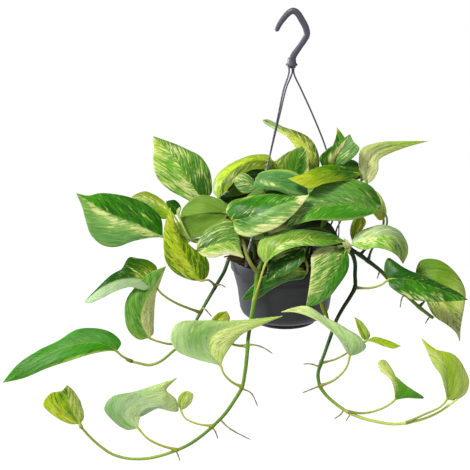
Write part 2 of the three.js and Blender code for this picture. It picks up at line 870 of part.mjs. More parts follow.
        rib: [[379, 211, 30], [352, 205, 44], [322, 207, 58], [300, 216, 66], [284, 228, 68]],
        left: [[370, 215, 38], [354, 219.5, 50], [336, 221, 60], [316, 220, 68], [298, 224, 70]],
        right: [
          [381, 202, 20],
          [374, 189, 22],
          [362, 181.5, 28],
          [345, 178, 33],
          [328, 181, 40],
          [313, 190, 50],
          [302, 204, 60],
        ],
      },
      behind_great: {
        from: [360, 255, 10],
        via: [[370, 244, 4], [381, 231, 4]],
        rib: [[384, 220, 8], [377, 205, 6], [366, 191, 2]],
        left: [[379, 220, 12], [371, 210, 12], [366, 199, 8]],
        right: [[386.5, 212, 4], [384, 202, 0], [376, 191, -2]],
      },
      round: {
        from: [419, 307, 4],
        via: [[425, 300, -2]],
        rib: [[426, 290, -4], [445, 304, 4], [455, 322, 10], [460, 342, 12]],
        left: [
          [416, 277, -12],
          [420, 261, -16],
          [437, 259.5, -16],
          [455, 272, -12],
          [466, 293, -6],
          [463, 312, 2],
          [460.5, 328, 8],
        ],
        right: [[426, 300, 0], [434, 316, 8], [447, 325, 12], [456, 333, 13]],
      },
    },
    roots: [
      [[379, 273, 12], [377, 279, 14]],
      [[402, 298, 8], [400, 308, 10]],
      [[428, 319, 4], [425, 324, 6]],
    ],
  },
  crown_left: {
    root: [-36, -2],
    radius: 2.4,
    end: 0.7,
    path: [
      [250, 238, 2],
      [240, 228, 6],
      [224, 224, 12],
      [206, 224, 17],
      [190, 225, 20],
      [176, 228, 24],
    ],
    leaves: {
      far_left: {
        from: [176, 228, 24],
        via: [[170, 234, 34]],
        rib: [[163, 237, 42], [140, 226, 50], [108, 213, 58], [76, 193, 60]],
        left: [
          [150, 238, 50],
          [134, 241, 58],
          [116, 247, 66],
          [102, 245, 68],
          [91, 235, 66],
          [86, 222, 64],
          [82, 207, 62],
        ],
        right: [
          [161, 219, 34],
          [150, 206, 38],
          [136, 199, 44],
          [118, 194.5, 50],
          [100, 193, 54],
          [88, 195.5, 58],
        ],
      },
      olive_edge: {
        from: [190, 225, 20],
        via: [[183, 228, 26]],
        rib: [[171, 211, 26], [152, 203, 22], [128, 200, 18]],
        left: [[164, 217, 26], [150, 213, 26], [137, 207, 22]],
        right: [[163, 203, 18], [154, 195, 14], [146, 191.5, 12], [136, 194, 13]],
      },
      upright: {
        from: [206, 224, 17],
        via: [[208, 212, 17]],
        rib: [[203, 199, 18], [190, 183, 20], [176, 160, 16], [153, 136, 8]],
        left: [
          [196, 203, 22],
          [182, 197, 24],
          [168, 189, 26],
          [158, 179, 24],
          [153, 164, 20],
          [153.5, 149, 14],
        ],
        right: [
          [211, 194, 14],
          [212, 182, 12],
          [208, 167, 10],
          [200, 156, 8],
          [188, 149.5, 6],
          [170, 142, 6],
        ],
      },
      back_of_round: {
        from: [224, 224, 12],
        via: [[232, 220, 22], [234, 216, 32]],
        rib: [[228, 213, 38], [206, 213, 42], [180, 217, 38]],
        left: [[224, 204, 32], [214, 197, 28], [202, 195, 26], [191, 200, 28], [183, 208, 32]],
        right: [[222, 224, 44], [210, 230, 46], [199, 237, 46], [190, 238, 44], [182, 228, 41]],
      },
      tuft: {
        from: [190, 225, 20],
        via: [[187, 217, 15]],
        rib: [[184, 209, 12], [175, 204, 10], [166, 201, 8]],
        left: [[180, 211, 14], [172, 209, 13]],
        right: [[180, 202, 9], [173, 198, 7]],
        stalk: 1.2,
      },
    },
  },
  crown_front: {
    root: [-14, 16],
    radius: 2.4,
    end: 0.7,
    path: [
      [268, 238, 34],
      [258, 228, 48],
      [248, 222, 54],
      [240, 222, 58],
    ],
    leaves: {
      middle: {
        from: [240, 222, 58],
        via: [[236, 223, 62]],
        rib: [[233, 221, 72], [252, 216, 78], [280, 205, 78], [309, 195, 68]],
        left: [
          [226, 212, 66],
          [230, 203, 60],
          [246, 197, 56],
          [264, 194, 56],
          [282, 195, 58],
          [297, 196, 64],
        ],
        right: [
          [236, 232, 76],
          [247, 237, 82],
          [263, 233, 86],
          [278, 227, 86],
          [291, 217, 82],
          [301, 206, 75],
        ],
      },
      blue: {
        from: [258, 228, 48],
        via: [[256, 207, 38], [265, 192, 38]],
        rib: [[256, 178, 52], [275, 183, 56], [290, 190, 54], [308, 195, 50]],
        left: [[260, 173, 47], [275, 169.5, 44], [290, 170.5, 43], [302, 177, 44], [307, 186, 46]],
        right: [[254, 186, 54], [264, 189, 57], [278, 191, 57], [292, 196, 54]],
      },
      speckled: {
        from: [262, 232, 31],
        via: [[266, 212, 22], [266, 198, 20]],
        rib: [[259, 188, 22], [246, 183, 24], [233, 181, 24]],
        left: [[251, 192, 28], [243, 193, 29], [237, 188, 27]],
        right: [[252, 178, 18], [244, 173, 18], [237, 176, 20]],
      },
    },
  },
  crown_right: {
    root: [22, 12],
    radius: 2.4,
    end: 0.7,
    path: [
      [312, 238, 14],
      [322, 226, 12],
      [333, 213, 8],
      [344, 202, 2],
      [353, 196, -4],
    ],
    leaves: {
      lime: {
        from: [344, 202, 2],
        via: [[356, 191, 1], [361, 181, 6]],
        rib: [[361, 174, 14], [338, 171, 28], [315, 177, 48], [288, 178.5, 64]],
        left: [[352, 180, 32], [338, 181, 46], [325, 183.5, 58], [310, 188.5, 67], [299, 184, 67]],
        right: [[356, 166, 6], [343, 164.5, 12], [328, 165, 22], [313, 169, 38], [300, 175, 53]],
      },
      cleft: {
        from: [322, 226, 12],
        via: [[328, 200, 8]],
        rib: [[334, 167, 12], [338, 156, 13], [345, 145, 11], [350, 134, 8]],
        left: [[324, 168, 16], [319.5, 158, 18], [326, 150, 17], [336, 143.5, 13]],
        right: [[346, 163, 17], [355, 156, 18], [359.5, 148, 16], [354, 142, 12]],
      },
      horn: {
        from: [353, 196, -4],
        via: [[362, 191, -4]],
        rib: [[367, 184, 0], [367, 165, -8], [378, 151, -16], [402, 144.5, -28], [429, 141, -36]],
        left: [[361, 176, 6], [359, 160, 2], [361, 149, -4], [378, 142.5, -16], [400, 141, -28]],
        right: [[373, 180, -4], [378, 170, -10], [379, 160, -16], [391, 153, -24], [407, 147, -30]],
      },
      hidden_strip: {
        from: [333, 213, 8],
        via: [[350, 212, 9]],
        rib: [[362, 215, 12], [358, 227, 15], [352, 241, 16]],
        left: [[366, 222, 18], [359, 234, 20]],
        right: [[354, 219, 8], [350, 231, 12]],
      },
      inner_low: {
        from: [317, 232, 13],
        via: [[313, 223, 8]],
        rib: [[306, 216, 2], [285, 222, 4], [262, 231, 8]],
        left: [[301, 229, 6], [285, 236, 8], [270, 237, 9]],
        right: [[298, 207, -2], [280, 211, 0], [268, 221, 4]],
      },
    },
  },
  crown_low: {
    root: [8, 44],
    radius: 2.3,
    end: 0.7,
    path: [
      [291, 258, 56],
      [297, 255, 67],
      [303, 257, 76],
    ],
    leaves: {
      under_rim: {
        from: [297, 255, 67],
        via: [[304, 251, 72]],
        rib: [[304, 248, 75], [290, 261, 84], [278, 272, 87], [266, 282, 86]],
        left: [[305, 258, 84], [297, 268, 90], [285, 275, 90], [275, 278, 88]],
        right: [[294, 248, 72], [281, 252, 76], [271, 261, 80], [267, 272, 84]],
      },
      along_pot: {
        from: [303, 257, 76],
        via: [[307, 264, 80]],
        rib: [[307, 273, 76], [285, 280, 71], [262, 289, 62], [241, 300, 52]],
        left: [[303, 278.5, 74], [288, 281, 69], [272, 289, 62], [256, 299, 56]],
        right: [[302, 268, 77], [284, 268, 75], [266, 275, 67], [253, 285, 60]],
      },
    },
  },
  crown_back: {
    root: [-8, -22],
    radius: 2.3,
    end: 0.7,
    path: [
      [281, 222, -20],
      [282, 200, -16],
      [284, 184, -12],
    ],
    leaves: {
      arched: {
        from: [282, 200, -16],
        via: [[280, 178, -12]],
        rib: [[273, 161, -6], [255, 160, 0], [236, 168, 6], [222, 182, 12], [218, 199, 14]],
        left: [[268, 168, 2], [252, 170, 8], [238, 178, 14], [229, 188, 18]],
        right: [
          [268, 155, -14],
          [252, 155.5, -12],
          [235, 161, -10],
          [222, 170, -6],
          [214, 181, 0],
          [213, 191, 8],
        ],
      },
      upper: {
        from: [284, 184, -12],
        via: [[290, 182, -8]],
        rib: [[293, 174, -6], [297, 160, -6], [302, 146, -9]],
        left: [[283, 168, -2], [284, 159, -4], [293, 150, -7]],
        right: [[307, 172, -4], [309, 160, -6], [307, 151, -8]],
      },
      under_arch: {
        from: [282, 200, -16],
        via: [[277, 199, -20]],
        rib: [[270, 196, -23], [245, 194, -25], [219, 198, -26]],
        left: [[262, 203, -22], [242, 206, -23], [228, 204, -24]],
        right: [[264, 187, -26], [246, 184, -28], [230, 189, -28]],
      },
      inner_left: {
        from: [281, 222, -20],
        via: [[273, 221, -17]],
        rib: [[264, 220, -14], [244, 221, -13], [224, 222, -10]],
        left: [[256, 231, -10], [240, 236, -9], [228, 230, -8]],
        right: [[256, 210, -16], [240, 209, -15], [228, 214, -12]],
      },
    },
  },
  crown_back_right: {
    root: [18, -28],
    radius: 2.3,
    end: 0.7,
    path: [
      [304, 220, -30],
      [310, 200, -30],
      [316, 184, -30],
    ],
    leaves: {
      stretched: {
        from: [316, 184, -30],
        via: [[317, 176, -28]],
        rib: [[313, 168, -26], [311, 150, -30], [298, 138, -38], [280, 129.5, -46], [262, 120, -52]],
        left: [[305, 170, -22], [302, 158, -24], [295, 147, -32], [288, 138, -38], [276, 130, -46]],
        right: [[318, 162, -32], [317, 148, -36], [310, 138.5, -40], [300, 132.5, -44], [284, 127.5, -48]],
      },
      peak: {
        from: [315, 186, -30],
        via: [[328, 180, -28]],
        rib: [[337, 167, -26], [340, 150, -26], [337, 127, -30]],
        left: [[329, 163, -24], [332, 148, -26], [336, 136, -29]],
        right: [[348, 162, -24], [350, 147, -26], [343, 135, -29]],
      },
      dark_top: {
        from: [310, 200, -30],
        via: [[345, 194, -30]],
        rib: [[364, 177, -16], [350, 168, -10], [337, 164, -6]],
        left: [[354, 180, -6], [343, 172, -2]],
        right: [[358, 163, -20], [347, 159, -14]],
      },
    },
  },
  back_left: {
    root: [-28, -26],
    radius: 2.4,
    end: 0.7,
    path: [
      [266, 228, -34],
      [262, 218, -50],
      [256, 214, -62],
    ],
    leaves: {
      outer: {
        from: [256, 214, -62],
        base: [234, 210, -62],
        tip: [206, 214, -132],
        face: [-0.2, -0.3, 0.95],
        width: 62,
        arch: 8,
      },
      upper: {
        from: [262, 218, -50],
        base: [250, 200, -74],
        tip: [246, 198, -150],
        face: [0, -0.35, 0.95],
        width: 62,
        arch: 8,
      },
      side: {
        from: [266, 228, -34],
        via: [[256, 224, -30]],
        base: [228, 214, -32],
        tip: [192, 216, -84],
        face: [-0.3, 0, 0.95],
        width: 56,
        arch: 8,
      },
      top: {
        from: [262, 220, -48],
        base: [248, 188, -58],
        tip: [238, 178, -112],
        face: [0, -0.3, 0.95],
        width: 54,
        arch: 8,
      },
    },
  },
  back_trailer: {
    root: [0, -40],
    radius: 2.4,
    path: [
      [284, 226, -58],
      [284, 219, -72],
      [284, 224, -86],
      [284, 240, -93],
      [285, 258, -94],
      [286, 274, -92],
    ],
    leaves: {
      first: {
        from: [284, 224, -84],
        base: [303, 214, -94],
        tip: [316, 228, -172],
        face: [0.1, -0.4, 0.9],
        width: 62,
        arch: 10,
      },
      second: {
        from: [284, 238, -92],
        base: [264, 240, -104],
        tip: [254, 274, -150],
        face: [-0.3, -0.7, 0.6],
        width: 54,
        arch: 6,
      },
      third: {
        from: [285, 256, -94],
        base: [302, 262, -104],
        tip: [310, 296, -136],
        face: [0.3, -0.8, 0.5],
        width: 50,
        arch: 6,
      },
      fourth: {
        from: [286, 274, -92],
        base: [283, 286, -96],
        tip: [276, 318, -110],
        face: [-0.1, -0.9, 0.3],
        width: 40,
        arch: 5,
      },
    },
  },
  back_right: {
    root: [32, -24],
    radius: 2.4,
    end: 0.7,
    path: [
      [316, 228, -36],
      [324, 220, -46],
      [330, 216, -54],
    ],
    leaves: {
      outer: {
        from: [330, 216, -54],
        base: [342, 210, -64],
        tip: [366, 214, -136],
        face: [0.2, -0.3, 0.95],
        width: 62,
        arch: 8,
      },
      upper: {
        from: [324, 220, -46],
        base: [322, 198, -72],
        tip: [330, 194, -146],
        face: [0, -0.35, 0.95],
        width: 58,
        arch: 8,
      },
      side: {
        from: [320, 224, -41],
        base: [346, 214, -34],
        tip: [384, 214, -82],
        face: [0.3, 0, 0.95],
        width: 54,
        arch: 8,
      },
    },
  },
};

const plant = new THREE.Group();
plant.add(pot(), soil(Object.values(SHOOTS)), hook());
for (const [name, shape] of Object.entries(ARMS)) {
  plant.add(arm(`arm_${name}`, shape));
}
for (const [name, shoot] of Object.entries(SHOOTS)) {
  plant.add(mesh(name, geometryOf(shootSolid(shoot)), FOLIAGE));
}

export default plant;
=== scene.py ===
"""A marble queen pothos in a hanging nursery pot: dark plastic pot and hanger, peaty soil, long vines that
trail over the rim and a crown of short shoots, with waxy leaves marbled in green and cream.

Every leaf and stem is a surface worked out with numpy from places read in the front view, as the model's
solids are. A leaf's colours come from the shares and patches of its coat, which noise along its veins
breaks up.
"""

import bpy
import numpy as np
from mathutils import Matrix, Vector


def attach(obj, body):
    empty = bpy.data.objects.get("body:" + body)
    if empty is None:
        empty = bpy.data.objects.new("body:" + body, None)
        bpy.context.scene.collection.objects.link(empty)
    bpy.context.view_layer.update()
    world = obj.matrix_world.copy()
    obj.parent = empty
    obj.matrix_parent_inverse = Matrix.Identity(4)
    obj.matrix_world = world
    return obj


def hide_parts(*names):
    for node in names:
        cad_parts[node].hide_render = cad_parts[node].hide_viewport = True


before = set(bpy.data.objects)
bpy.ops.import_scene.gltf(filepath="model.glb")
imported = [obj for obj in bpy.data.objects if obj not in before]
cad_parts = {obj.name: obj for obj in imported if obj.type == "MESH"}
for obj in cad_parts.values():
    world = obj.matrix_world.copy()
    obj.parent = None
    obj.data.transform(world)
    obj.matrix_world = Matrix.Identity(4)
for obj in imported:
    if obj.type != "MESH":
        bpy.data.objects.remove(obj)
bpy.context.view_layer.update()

MM = 0.001

# The front view. The eye is 1.6 m off and 17 degrees above the pot, and looks at a picture of 470 squares a
# side, counted from its top left corner. A square is 1.2 mm at the pot's distance.
EYE_DISTANCE = 1.6
EYE_ELEVATION = np.radians(17)
PICTURE_MIDDLE = 235
SQUARE = 1.2 * MM
PICTURE_SIDE = 470 * SQUARE
PICTURE_CENTRE = np.array([-0.066, 0.0, -0.264])
EYE = PICTURE_CENTRE + EYE_DISTANCE * np.array([0, -np.cos(EYE_ELEVATION), np.sin(EYE_ELEVATION)])
SENSOR = 36.0

# Places in the solids, in metres
POT_AXIS_X = -0.0055
RIM_Z = -0.290
SOIL_DEPTH = 0.010
COLLAR_X = -0.0005
COLLAR_BOTTOM = -0.062


def seen(places):
    """Places in the front view, [squares right, squares down, mm in front of the pot's axis], as points. A
    place lies on the line of sight through its square, where that line is `front` nearer than the axis."""
    right, down, front = np.asarray(places, float).T
    across = (right - PICTURE_MIDDLE) * SQUARE
    up = (PICTURE_MIDDLE - down) * SQUARE
    cos, sin = np.cos(EYE_ELEVATION), np.sin(EYE_ELEVATION)
    sight = np.stack([across, EYE_DISTANCE * cos + up * sin, up * cos - EYE_DISTANCE * sin], axis=-1)
    reach = (EYE_DISTANCE * cos - front * MM) / sight[:, 1]
    return EYE + sight * reach[:, None]


# Curves and frames


def unit(vectors):
    return vectors / np.maximum(np.linalg.norm(vectors, axis=-1, keepdims=True), 1e-12)


class Line:
    """A smooth line through points, read by share of its length. Between two points it is a cubic,
    P(t) = b + u t + (3 (c - b) - 2 u - v) t^2 + (2 (b - c) + u + v) t^3, whose slopes u and v come from the
    points on either side and the square roots of the gaps between them."""

    STEPS = 40  # to a stretch between two points

    def __init__(self, points):
        points = np.asarray(points, float)
        p = np.concatenate([[2 * points[0] - points[1]], points, [2 * points[-1] - points[-2]]])
        gap = np.linalg.norm(np.diff(p, axis=0), axis=1)[:, None] ** 0.5
        a, b, c, d = p[:-3], p[1:-2], p[2:-1], p[3:]
        before, here, after = gap[:-2], gap[1:-1], gap[2:]
        leave = ((b - a) / before - (c - a) / (before + here) + (c - b) / here) * here
        arrive = ((c - b) / here - (d - b) / (here + after) + (d - c) / after) * here
        t = np.linspace(0, 1, self.STEPS, endpoint=False)[None, :, None]
        b, c, leave, arrive = (x[:, None] for x in (b, c, leave, arrive))
        square, cube = 3 * (c - b) - 2 * leave - arrive, 2 * (b - c) + leave + arrive
        curve = b + leave * t + square * t**2 + cube * t**3
        self.points = np.concatenate([curve.reshape(-1, 3), points[-1:]])
        lengths = np.concatenate([[0], np.cumsum(np.linalg.norm(np.diff(self.points, axis=0), axis=1))])
        self.length = lengths[-1]
        self.shares = lengths / self.length

    def at(self, share):
        return np.stack([np.interp(share, self.shares, self.points[:, k]) for k in range(3)], axis=-1)

    def nearest(self, point):
        """The share of the line's length at which it passes closest to a point."""
        return self.shares[np.argmin(np.linalg.norm(self.points - point, axis=1))]


def frames(points):
    """Two unit vectors square to a path at each of its points. The first leans as little as it can from the
    one direction that is most square to the whole path."""
    tangents = unit(np.gradient(points, axis=0))
    steady = np.linalg.svd(tangents, full_matrices=False)[2][-1]
    first = unit(steady - (tangents @ steady)[:, None] * tangents)
    return first, np.cross(tangents, first)


# Surfaces


class Surface:
    """Points, faces and per-point attributes of a piece, gathered part by part."""

    NAMES = ("vein", "tone", "marble")

    def __init__(self):
        self.points, self.quads, self.tris, self.quad_kinds, self.tri_kinds = [], [], [], [], []
        self.attributes = {name: [] for name in self.NAMES}
        self.count = 0

    def add(self, points, quads, tris, kinds=None, **attributes):
        self.points.append(points)
        self.quads.append(quads + self.count)
        self.tris.append(tris + self.count)
        quad_kinds, tri_kinds = kinds or (np.zeros(len(quads)), np.zeros(len(tris)))
        self.quad_kinds.append(quad_kinds)
        self.tri_kinds.append(tri_kinds)
        for name, width in zip(self.NAMES, (3, 4, 4)):
            value = attributes.get(name, np.zeros(width))
            self.attributes[name].append(np.broadcast_to(value, (len(points), width)))
        self.count += len(points)

    def mesh(self, name, finishes):
        points = np.concatenate(self.points)
        quads = np.concatenate(self.quads).astype(np.int32)
        tris = np.concatenate(self.tris).astype(np.int32)
        mesh = bpy.data.meshes.new(name)
        mesh.vertices.add(len(points))
        mesh.vertices.foreach_set("co", points.astype(np.float32).ravel())
        mesh.loops.add(quads.size + tris.size)
        mesh.loops.foreach_set("vertex_index", np.concatenate([quads.ravel(), tris.ravel()]))
        mesh.polygons.add(len(quads) + len(tris))
        starts = np.concatenate([4 * np.arange(len(quads)), quads.size + 3 * np.arange(len(tris))])
        mesh.polygons.foreach_set("loop_start", starts.astype(np.int32))
        kinds = np.concatenate(self.quad_kinds + self.tri_kinds).astype(np.int32)
        mesh.polygons.foreach_set("material_index", kinds)
        mesh.polygons.foreach_set("use_smooth", np.ones(len(starts), bool))
        mesh.update(calc_edges=True)
        mesh.validate()
        for attribute, kind, field in (("vein", "FLOAT_VECTOR", "vector"), ("tone", "FLOAT_COLOR", "color"),
                                       ("marble", "FLOAT_COLOR", "color")):
            values = np.concatenate(self.attributes[attribute]).astype(np.float32)
            mesh.attributes.new(attribute, kind, "POINT").data.foreach_set(field, values.ravel())
        for finish in finishes:
            mesh.materials.append(finish)
        return mesh


def piece(name, surface, finishes, slot, *nodes):
    """A finished piece from a surface: it rides on the pot's one body and stands for the named solids."""
    made = bpy.data.objects.new(name, surface.mesh(name, finishes))
    bpy.context.scene.collection.objects.link(made)
    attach(made, "root")
    if nodes:
        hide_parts(*nodes)
    return made


def ring_faces(rows, columns):
    """Quads of a grid of points, row by row, whose rows close into rings."""
    i, j = np.meshgrid(np.arange(rows - 1), np.arange(columns), indexing="ij")
    a, b = i * columns + j, i * columns + (j + 1) % columns
    return np.stack([a, b, b + columns, a + columns], axis=-1).reshape(-1, 4)


def closed_rings(rings, start, end):
    """Rings of points with a pole at either end: points, quads and triangles."""
    rows, columns = rings.shape[:2]
    points = np.concatenate([rings.reshape(-1, 3), [start, end]])
    j = np.arange(columns)
    k = (j + 1) % columns
    first, last = rows * columns, rows * columns + 1
    tris = np.concatenate([
        np.stack([np.full(columns, first), k, j], axis=1),
        np.stack([np.full(columns, last), (rows - 1) * columns + j, (rows - 1) * columns + k], axis=1),
    ])
    return points, ring_faces(rows, columns), tris


def tube(points, radius, sides, flat=1.0, across=None):
    """A closed tube along a path: at each point P a ring P + r (cos(a) first + flat sin(a) second), in the
    two vectors of its frame. `across` fixes the first of them."""
    first, second = frames(points)
    if across is not None:
        tangents = unit(np.gradient(points, axis=0))
        first = unit(across - (tangents @ across)[:, None] * tangents)
        second = np.cross(tangents, first)
    angle = 2 * np.pi * np.arange(sides) / sides
    radius = np.broadcast_to(radius, len(points))[:, None, None]
    flat = np.broadcast_to(flat, len(points))[:, None, None]
    rings = points[:, None] + radius * (
        np.cos(angle)[None, :, None] * first[:, None] + flat * np.sin(angle)[None, :, None] * second[:, None]
    )
    return closed_rings(rings, points[0], points[-1])


def lathe(profile, sides, centre):
    """A profile of [radius, height] turned round a vertical line through centre, where it starts and ends:
    (r cos(a), r sin(a), z)."""
    profile = np.asarray(profile, float)
    angle = 2 * np.pi * np.arange(sides) / sides
    r, z = profile[1:-1, 0, None], profile[1:-1, 1, None]
    rings = np.stack([r * np.cos(angle), r * np.sin(angle), z + 0 * angle], axis=-1)
    poles = [np.array([0, 0, profile[k, 1]]) for k in (0, -1)]
    points, quads, tris = closed_rings(rings, *poles)
    return points + centre, quads, tris


def rounded(corners, radius, steps=4):
    """An outline of [radius, height] corners with each inner corner rounded off by a short arc."""
    corners = np.asarray(corners, float)
    out = [corners[:1]]
    for before, here, after in zip(corners[:-2], corners[1:-1], corners[2:]):
        back, ahead = before - here, after - here
        cut = min(radius, 0.45 * np.linalg.norm(back), 0.45 * np.linalg.norm(ahead))
        a, b = here + cut * unit(back), here + cut * unit(ahead)
        t = np.linspace(0, 1, steps)[:, None]
        out.append((1 - t) ** 2 * a + 2 * t * (1 - t) * here + t**2 * b)
    out.append(corners[-1:])
    return np.concatenate(out)


# Shader maths


class Wire:
    """A socket's value. Arithmetic on it adds Math nodes."""

    def __init__(self, finish, socket):
        self.finish, self.socket = finish, socket

    def math(self, operation, first, second=0.0, **settings):
        return self.finish.node("Math", {"operation": operation, **settings}, {0: first, 1: second})

    def __add__(self, other):
        return self.math("ADD", self, other)

    def __sub__(self, other):
        return self.math("SUBTRACT", self, other)

    def __rsub__(self, other):
        return self.math("SUBTRACT", other, self)

    def __mul__(self, other):
        return self.math("MULTIPLY", self, other)

    def __truediv__(self, other):
        return self.math("DIVIDE", self, other)

    __radd__ = __add__

    def clamped(self):
        return self.math("ADD", self, 0.0, use_clamp=True)

    def size(self):
        return self.math("ABSOLUTE", self)

    def sign(self):
        return self.math("SIGN", self)

    def wrapped(self, pitch):
        """0 at each whole multiple of the pitch, 0.5 halfway between two."""
        return self.math("PINGPONG", self / pitch, 0.5)


class Finish:
    """A material and its node tree. Constants are set on the shader's own sockets."""

    def __init__(self, name, **constants):
        self.material = bpy.data.materials.new(name)
        self.material.use_nodes = True
        self.tree = self.material.node_tree
        self.shader = self.tree.nodes["Principled BSDF"]
        for socket, value in constants.items():
            self.shader.inputs[socket.replace("_", " ")].default_value = value

    def node(self, kind, settings=None, values=None, output=0):
        made = self.tree.nodes.new("ShaderNode" + kind)
        for name, value in (settings or {}).items():
            setattr(made, name, value)
        for name, value in (values or {}).items():
            self.feed(made.inputs[name], value)
        return Wire(self, made.outputs[output])

    def feed(self, socket, value):
        if isinstance(value, Wire):
            self.tree.links.new(value.socket, socket)
        else:
            socket.default_value = value

    def mix(self, factor, first, second):
        """The first colour, going over to the second as factor goes from 0 to 1."""
        settings = {"data_type": "RGBA", "clamp_factor": True}
        return self.node("Mix", settings, {0: factor, 6: first, 7: second}, 2)

    def scaled(self, colour, share):
        """A colour times a number."""
        return self.node("VectorMath", {"operation": "SCALE"}, {0: colour, "Scale": share})

    def vector(self, x, y, z):
        return self.node("CombineXYZ", None, {0: x, 1: y, 2: z})

    def noise(self, vector, scale, detail, roughness):
        values = {"Vector": vector, "Scale": scale, "Detail": detail, "Roughness": roughness}
        return self.node("TexNoise", None, values)

    def place(self):
        """The object's own coordinates, in metres."""
        return self.node("TexCoord", None, None, "Object")

    def mapped(self, vector, **values):
        """A vector, turned and scaled."""
        return self.node("Mapping", None, {"Vector": vector, **values})

    def attribute(self, name, output="Vector"):
        return self.node("Attribute", {"attribute_name": name}, None, output)

    def split(self, vector):
        made = self.node("SeparateXYZ", None, {0: vector})
        outputs = made.socket.node.outputs
        return [Wire(self, outputs[k]) for k in range(3)]

    def bump(self, height, distance, strength):
        """Relief: height from 0 to 1 stands for 0 to distance."""
        values = {"Height": height, "Distance": distance, "Strength": strength}
        self.feed(self.shader.inputs["Normal"], self.node("Bump", None, values, "Normal"))

    def end(self, **sockets):
        for name, value in sockets.items():
            self.feed(self.shader.inputs[name.replace("_", " ")], value)
        return self.material


def colour(red, green, blue):
    """A display colour, 0 to 255, as the linear colour that shaders use."""
    c = np.array([red, green, blue]) / 255
    return np.where(c <= 0.04045, c / 12.92, ((c + 0.055) / 1.055) ** 2.4)


def solid(red, green, blue):
    return (*colour(red, green, blue), 1.0)


# Leaves and shoots

BLADE_ROWS = 64
BLADE_COLUMNS = 28
BLADE_THICKNESS = 0.8 * MM
MARGIN_THINNING = 0.4  # the share of its thickness that a blade loses at its margin
BULGE = 0.07  # how far each half of a blade bulges, as a share of that half's width
RIPPLE = 0.02  # how far its margin waves, likewise
SWELL = 0.03  # how far it swells and sinks between midrib and margin, likewise
FURROW = 0.3 * MM  # how deep the lateral veins lie
VEIN_PITCH = 7.5 * MM
VEIN_SLANT = 1.7  # how far a lateral vein runs on toward the tip for each step away from the midrib
VEIN_CURVE = 0.4  # how much further it does so at the margin
LOBE = 0.13  # how far a plain leaf's lobes reach back past the leafstalk, as a share of its length

LEAFSTALK_RADIUS = 1.5  # mm
SHEATH = 0.9 * MM  # how much thicker a leafstalk starts
SHEATH_LENGTH = 0.006
JOINT = 0.35 * MM  # how much thicker it is just before the blade
JOINT_LENGTH = 0.004
ROOTED = 0.014  # how deep a stem stands in the soil
UPRIGHT = 0.007  # how far it rises straight out of it
NODE_SWELL = 0.16  # how much thicker a stem is at a leaf, as a share of its radius
NODE_LENGTH = 0.005
SCAR = 0.14  # how deep the narrow scar before each leaf is, likewise
SCAR_LENGTH = 0.0012
SCAR_TO_LEAF = 0.0045
AERIAL_ROOT_RADIUS = 1.15 * MM
UPPER, UNDER, BARK, ROOT = range(4)  # the places of their finishes on a plant


class Leaf:
    """A leaf. `stalk` is the place on the stem where its leafstalk leaves, then the places it passes. The
    blade is given by its midrib and its two margins, from base to tip. A leaf at the back is given by its
    base, tip, the direction its upper side faces, and in mm its width and how high it arches."""

    def __init__(self, stalk, rib=None, left=None, right=None, stalk_radius=LEAFSTALK_RADIUS, base=None,
                 tip=None, face=None, width=None, arch=None):
        self.stalk, self.stalk_radius = seen(stalk), stalk_radius * MM
        if rib:
            middle = seen(rib)
            self.rib = Line(middle)
            self.left, self.right = (Line([middle[0], *seen(side), middle[-1]]) for side in (left, right))
        else:
            self.rib, self.left, self.right = plain_leaf(seen([base])[0], seen([tip])[0], face, width, arch)


def plain_leaf(base, tip, face, width, arch):
    """The midrib and margins of a regular heart-shaped blade. Its half width is
    h = width / 2 * sin(pi * s^0.6)^0.9 * (1 - 0.35 * s^4) at share s of its length. The midrib arches by
    4 * arch * s * (1 - s), the margins stand h / 5 higher, and their lobes reach back past the base."""
    chord = tip - base
    forward = unit(chord)
    up = np.array([face[0], -face[1], face[2]])
    up = unit(up - forward * (up @ forward))
    side = np.cross(forward, up)

    def line(w):
        s = np.array([0, 0.04, 0.15, 0.35, 0.6, 0.82, 1])[:, None]
        half = width * MM / 2 * np.sin(np.pi * s**0.6) ** 0.9 * (1 - 0.35 * s**4)
        along = chord * (s - LOBE * (1 - s) ** 3 * abs(w))
        rise = arch * MM * 4 * s * (1 - s) + 0.2 * abs(w) * half
        return Line(base + along + up * rise + side * (w * half))

    return line(0), line(-1), line(1)


class Shoot:
    """A stem with its aerial roots and its leaves by name. `root` is where it leaves the soil, [mm right, mm
    in front] of the pot's axis, `radius` is in mm, and `end` is the radius at the tip as a share of it."""

    def __init__(self, root, radius, path, roots=(), end=0.7, **leaves):
        foot = np.array([POT_AXIS_X + root[0] * MM, -root[1] * MM, RIM_Z - SOIL_DEPTH])
        rise = np.array([-ROOTED, -ROOTED / 2, 0, UPRIGHT])[:, None] * np.array([0, 0, 1])
        self.line = Line(np.concatenate([foot + rise, seen(path)]))
        self.radius, self.end, self.leaves = radius * MM, end, leaves
        self.roots = [seen(places) for places in roots]

    def radius_at(self, share):
        return self.radius * (1 - (1 - self.end) * share)


